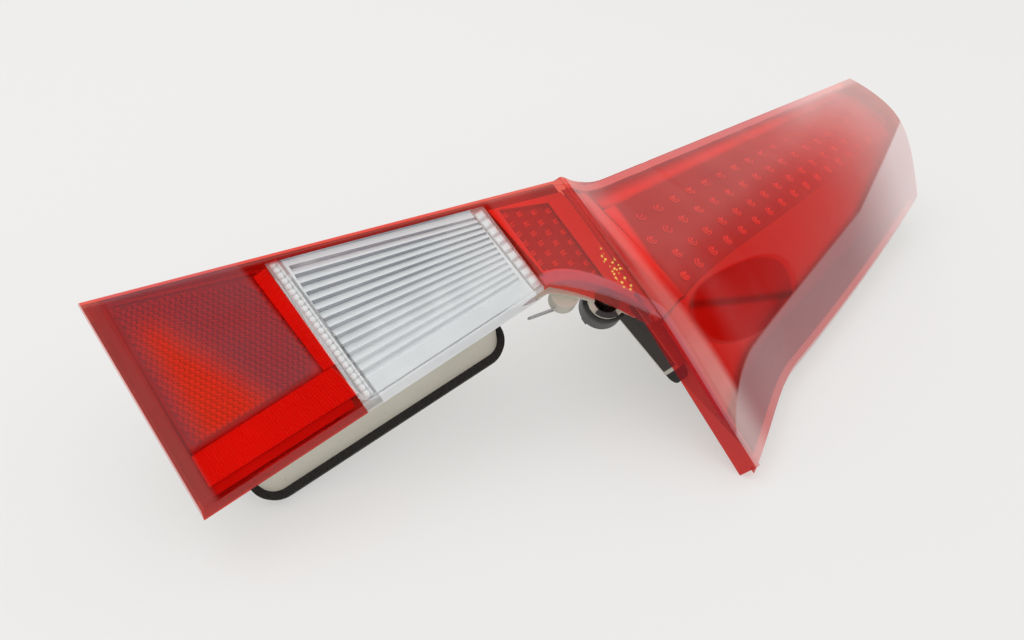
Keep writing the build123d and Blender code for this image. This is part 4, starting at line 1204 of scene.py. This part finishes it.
def add_socket_skirt():
    """The dark skirt of the stop socket, round the pod that carries it, and a collar on the pod's rim."""
    bm = bmesh.new()
    turns = [math.tau * step / SKIRT_STEPS for step in range(SKIRT_STEPS)]
    rings = [[on_circle(STOP_PLACE, reach, turn, z) for reach, z in SOCKET_SKIRT] for turn in turns]
    skin(bm, rings, closed=True)
    add_piece("stop_socket_skirt", bm, MATERIALS["socket"], smooth=True)
    bm = bmesh.new()
    first, last = COLLAR_TURN
    turns = [math.radians(first + (last - first) * step / COLLAR_STEPS) for step in range(COLLAR_STEPS + 1)]
    near, far = COLLAR_REACH
    outline = [on_circle(STOP_PLACE, far, turn, COLLAR_FOOT) for turn in turns]
    outline += [on_circle(STOP_PLACE, near, turn, COLLAR_FOOT) for turn in reversed(turns)]
    prism(bm, outline, (0, 0, 0), (0, 0, COLLAR_WALL))
    add_piece("stop_socket_collar", bm, MATERIALS["socket"])


def add_thread(name):
    """A fine thread wound round one stud's free length."""
    stud = mounts[name]
    axis = Vector(stud["axis"]).normalized()
    length = stud["dims"]["length_mm"]
    foot = THREAD_SPARE[0] - length / 2
    turns = int((length - sum(THREAD_SPARE)) / THREAD_PITCH)
    corners = ((THREAD_ROOT, -THREAD_WIDTH), (THREAD_CREST, 0), (THREAD_ROOT, THREAD_WIDTH))
    bm = bmesh.new()
    sections = []
    for step in range(turns * THREAD_STEPS + 1):
        angle = math.tau * step / THREAD_STEPS
        rise = foot + THREAD_PITCH * step / THREAD_STEPS
        sections.append([on_circle((0, 0), reach, angle, rise + climb) for reach, climb in corners])
    skin(bm, sections)
    turned = axis.to_track_quat("Z", "Y").to_matrix().to_4x4()
    in_row = Matrix.Translation(stud["pos_m"]) @ turned @ Matrix.Scale(MM, 4)
    bm.transform(LAMP_BACK @ in_row)
    add_piece(name + "_thread", bm, MATERIALS["stud"], smooth=True)


add_reflex()
add_lower_frame()
add_shoulder_frame()
add_blade_sheets()
add_dot_rings()
add_seams()
add_apron_parts()
add_socket_skirt()
for mount_name in ("low_stud", "waist_stud", "top_stud"):
    add_thread(mount_name)


def add_camera():
    """The camera that took the photograph, fitted to the lamp's corners."""
    camera = bpy.data.cameras.new("photo_camera")
    camera.lens = CAMERA_LENS
    camera.sensor_width = SENSOR_WIDTH
    camera.clip_start = CAMERA_CLIP
    look = LAMP_AXES @ CAMERA_LOOK.normalized()
    right = look.cross(LAMP_AXES @ CAMERA_UP).normalized()
    placed = Matrix((right, right.cross(look), -look)).transposed().to_4x4()
    placed.translation = at(*CAMERA_PLACE)
    holder = new_object("photo_camera", camera)
    holder.matrix_world = placed
    bpy.context.scene.camera = holder


def add_light(name, place, power):
    """A round soft lamp that faces the object."""
    light = bpy.data.lights.new(name, "AREA")
    light.shape = "DISK"
    light.size = LIGHT_SIZE
    light.energy = power
    holder = new_object(name, light)
    holder.location = place
    holder.rotation_euler = (-Vector(place)).to_track_quat("-Z", "Y").to_euler()


def add_stage():
    """The pale floor, the even sky and two soft lamps."""
    bm = bmesh.new()
    bm.faces.new([bm.verts.new((x * FLOOR_REACH, y * FLOOR_REACH, 0)) for x, y in SQUARE])
    s = Shading("floor_paper")
    grey = s.cloudy((FLOOR_GREY,) * 3 + (1,), (FLOOR_GREY * FLOOR_CLOUD,) * 3 + (1,), 3, 2.0)
    paper = s.principled(Base_Color=grey, Roughness=0.9, Specular_IOR_Level=0.1)
    rays = s.add("ShaderNodeLightPath").outputs
    seen = s.most(rays["Is Camera Ray"], rays["Is Glossy Ray"], rays["Is Transmission Ray"])
    glow = s.add("ShaderNodeEmission", {"Color": FLOOR_SEEN, "Strength": 1.0}).outputs[0]
    material = s.finish(s.blend(s.product(seen, FLOOR_GLOW), paper, glow))
    floor = new_object("floor", new_mesh("floor", bm, material))
    world = bpy.data.worlds.new("studio")
    world.use_nodes = True
    sky = world.node_tree.nodes["Background"].inputs
    sky["Color"].default_value = (1, 1, 1, 1)
    sky["Strength"].default_value = WORLD_STRENGTH
    bpy.context.scene.world = world
    for name, (place, power) in LIGHTS.items():
        add_light(name, place, power)


add_camera()
add_stage()
bpy.context.scene.view_settings.view_transform = "Standard"
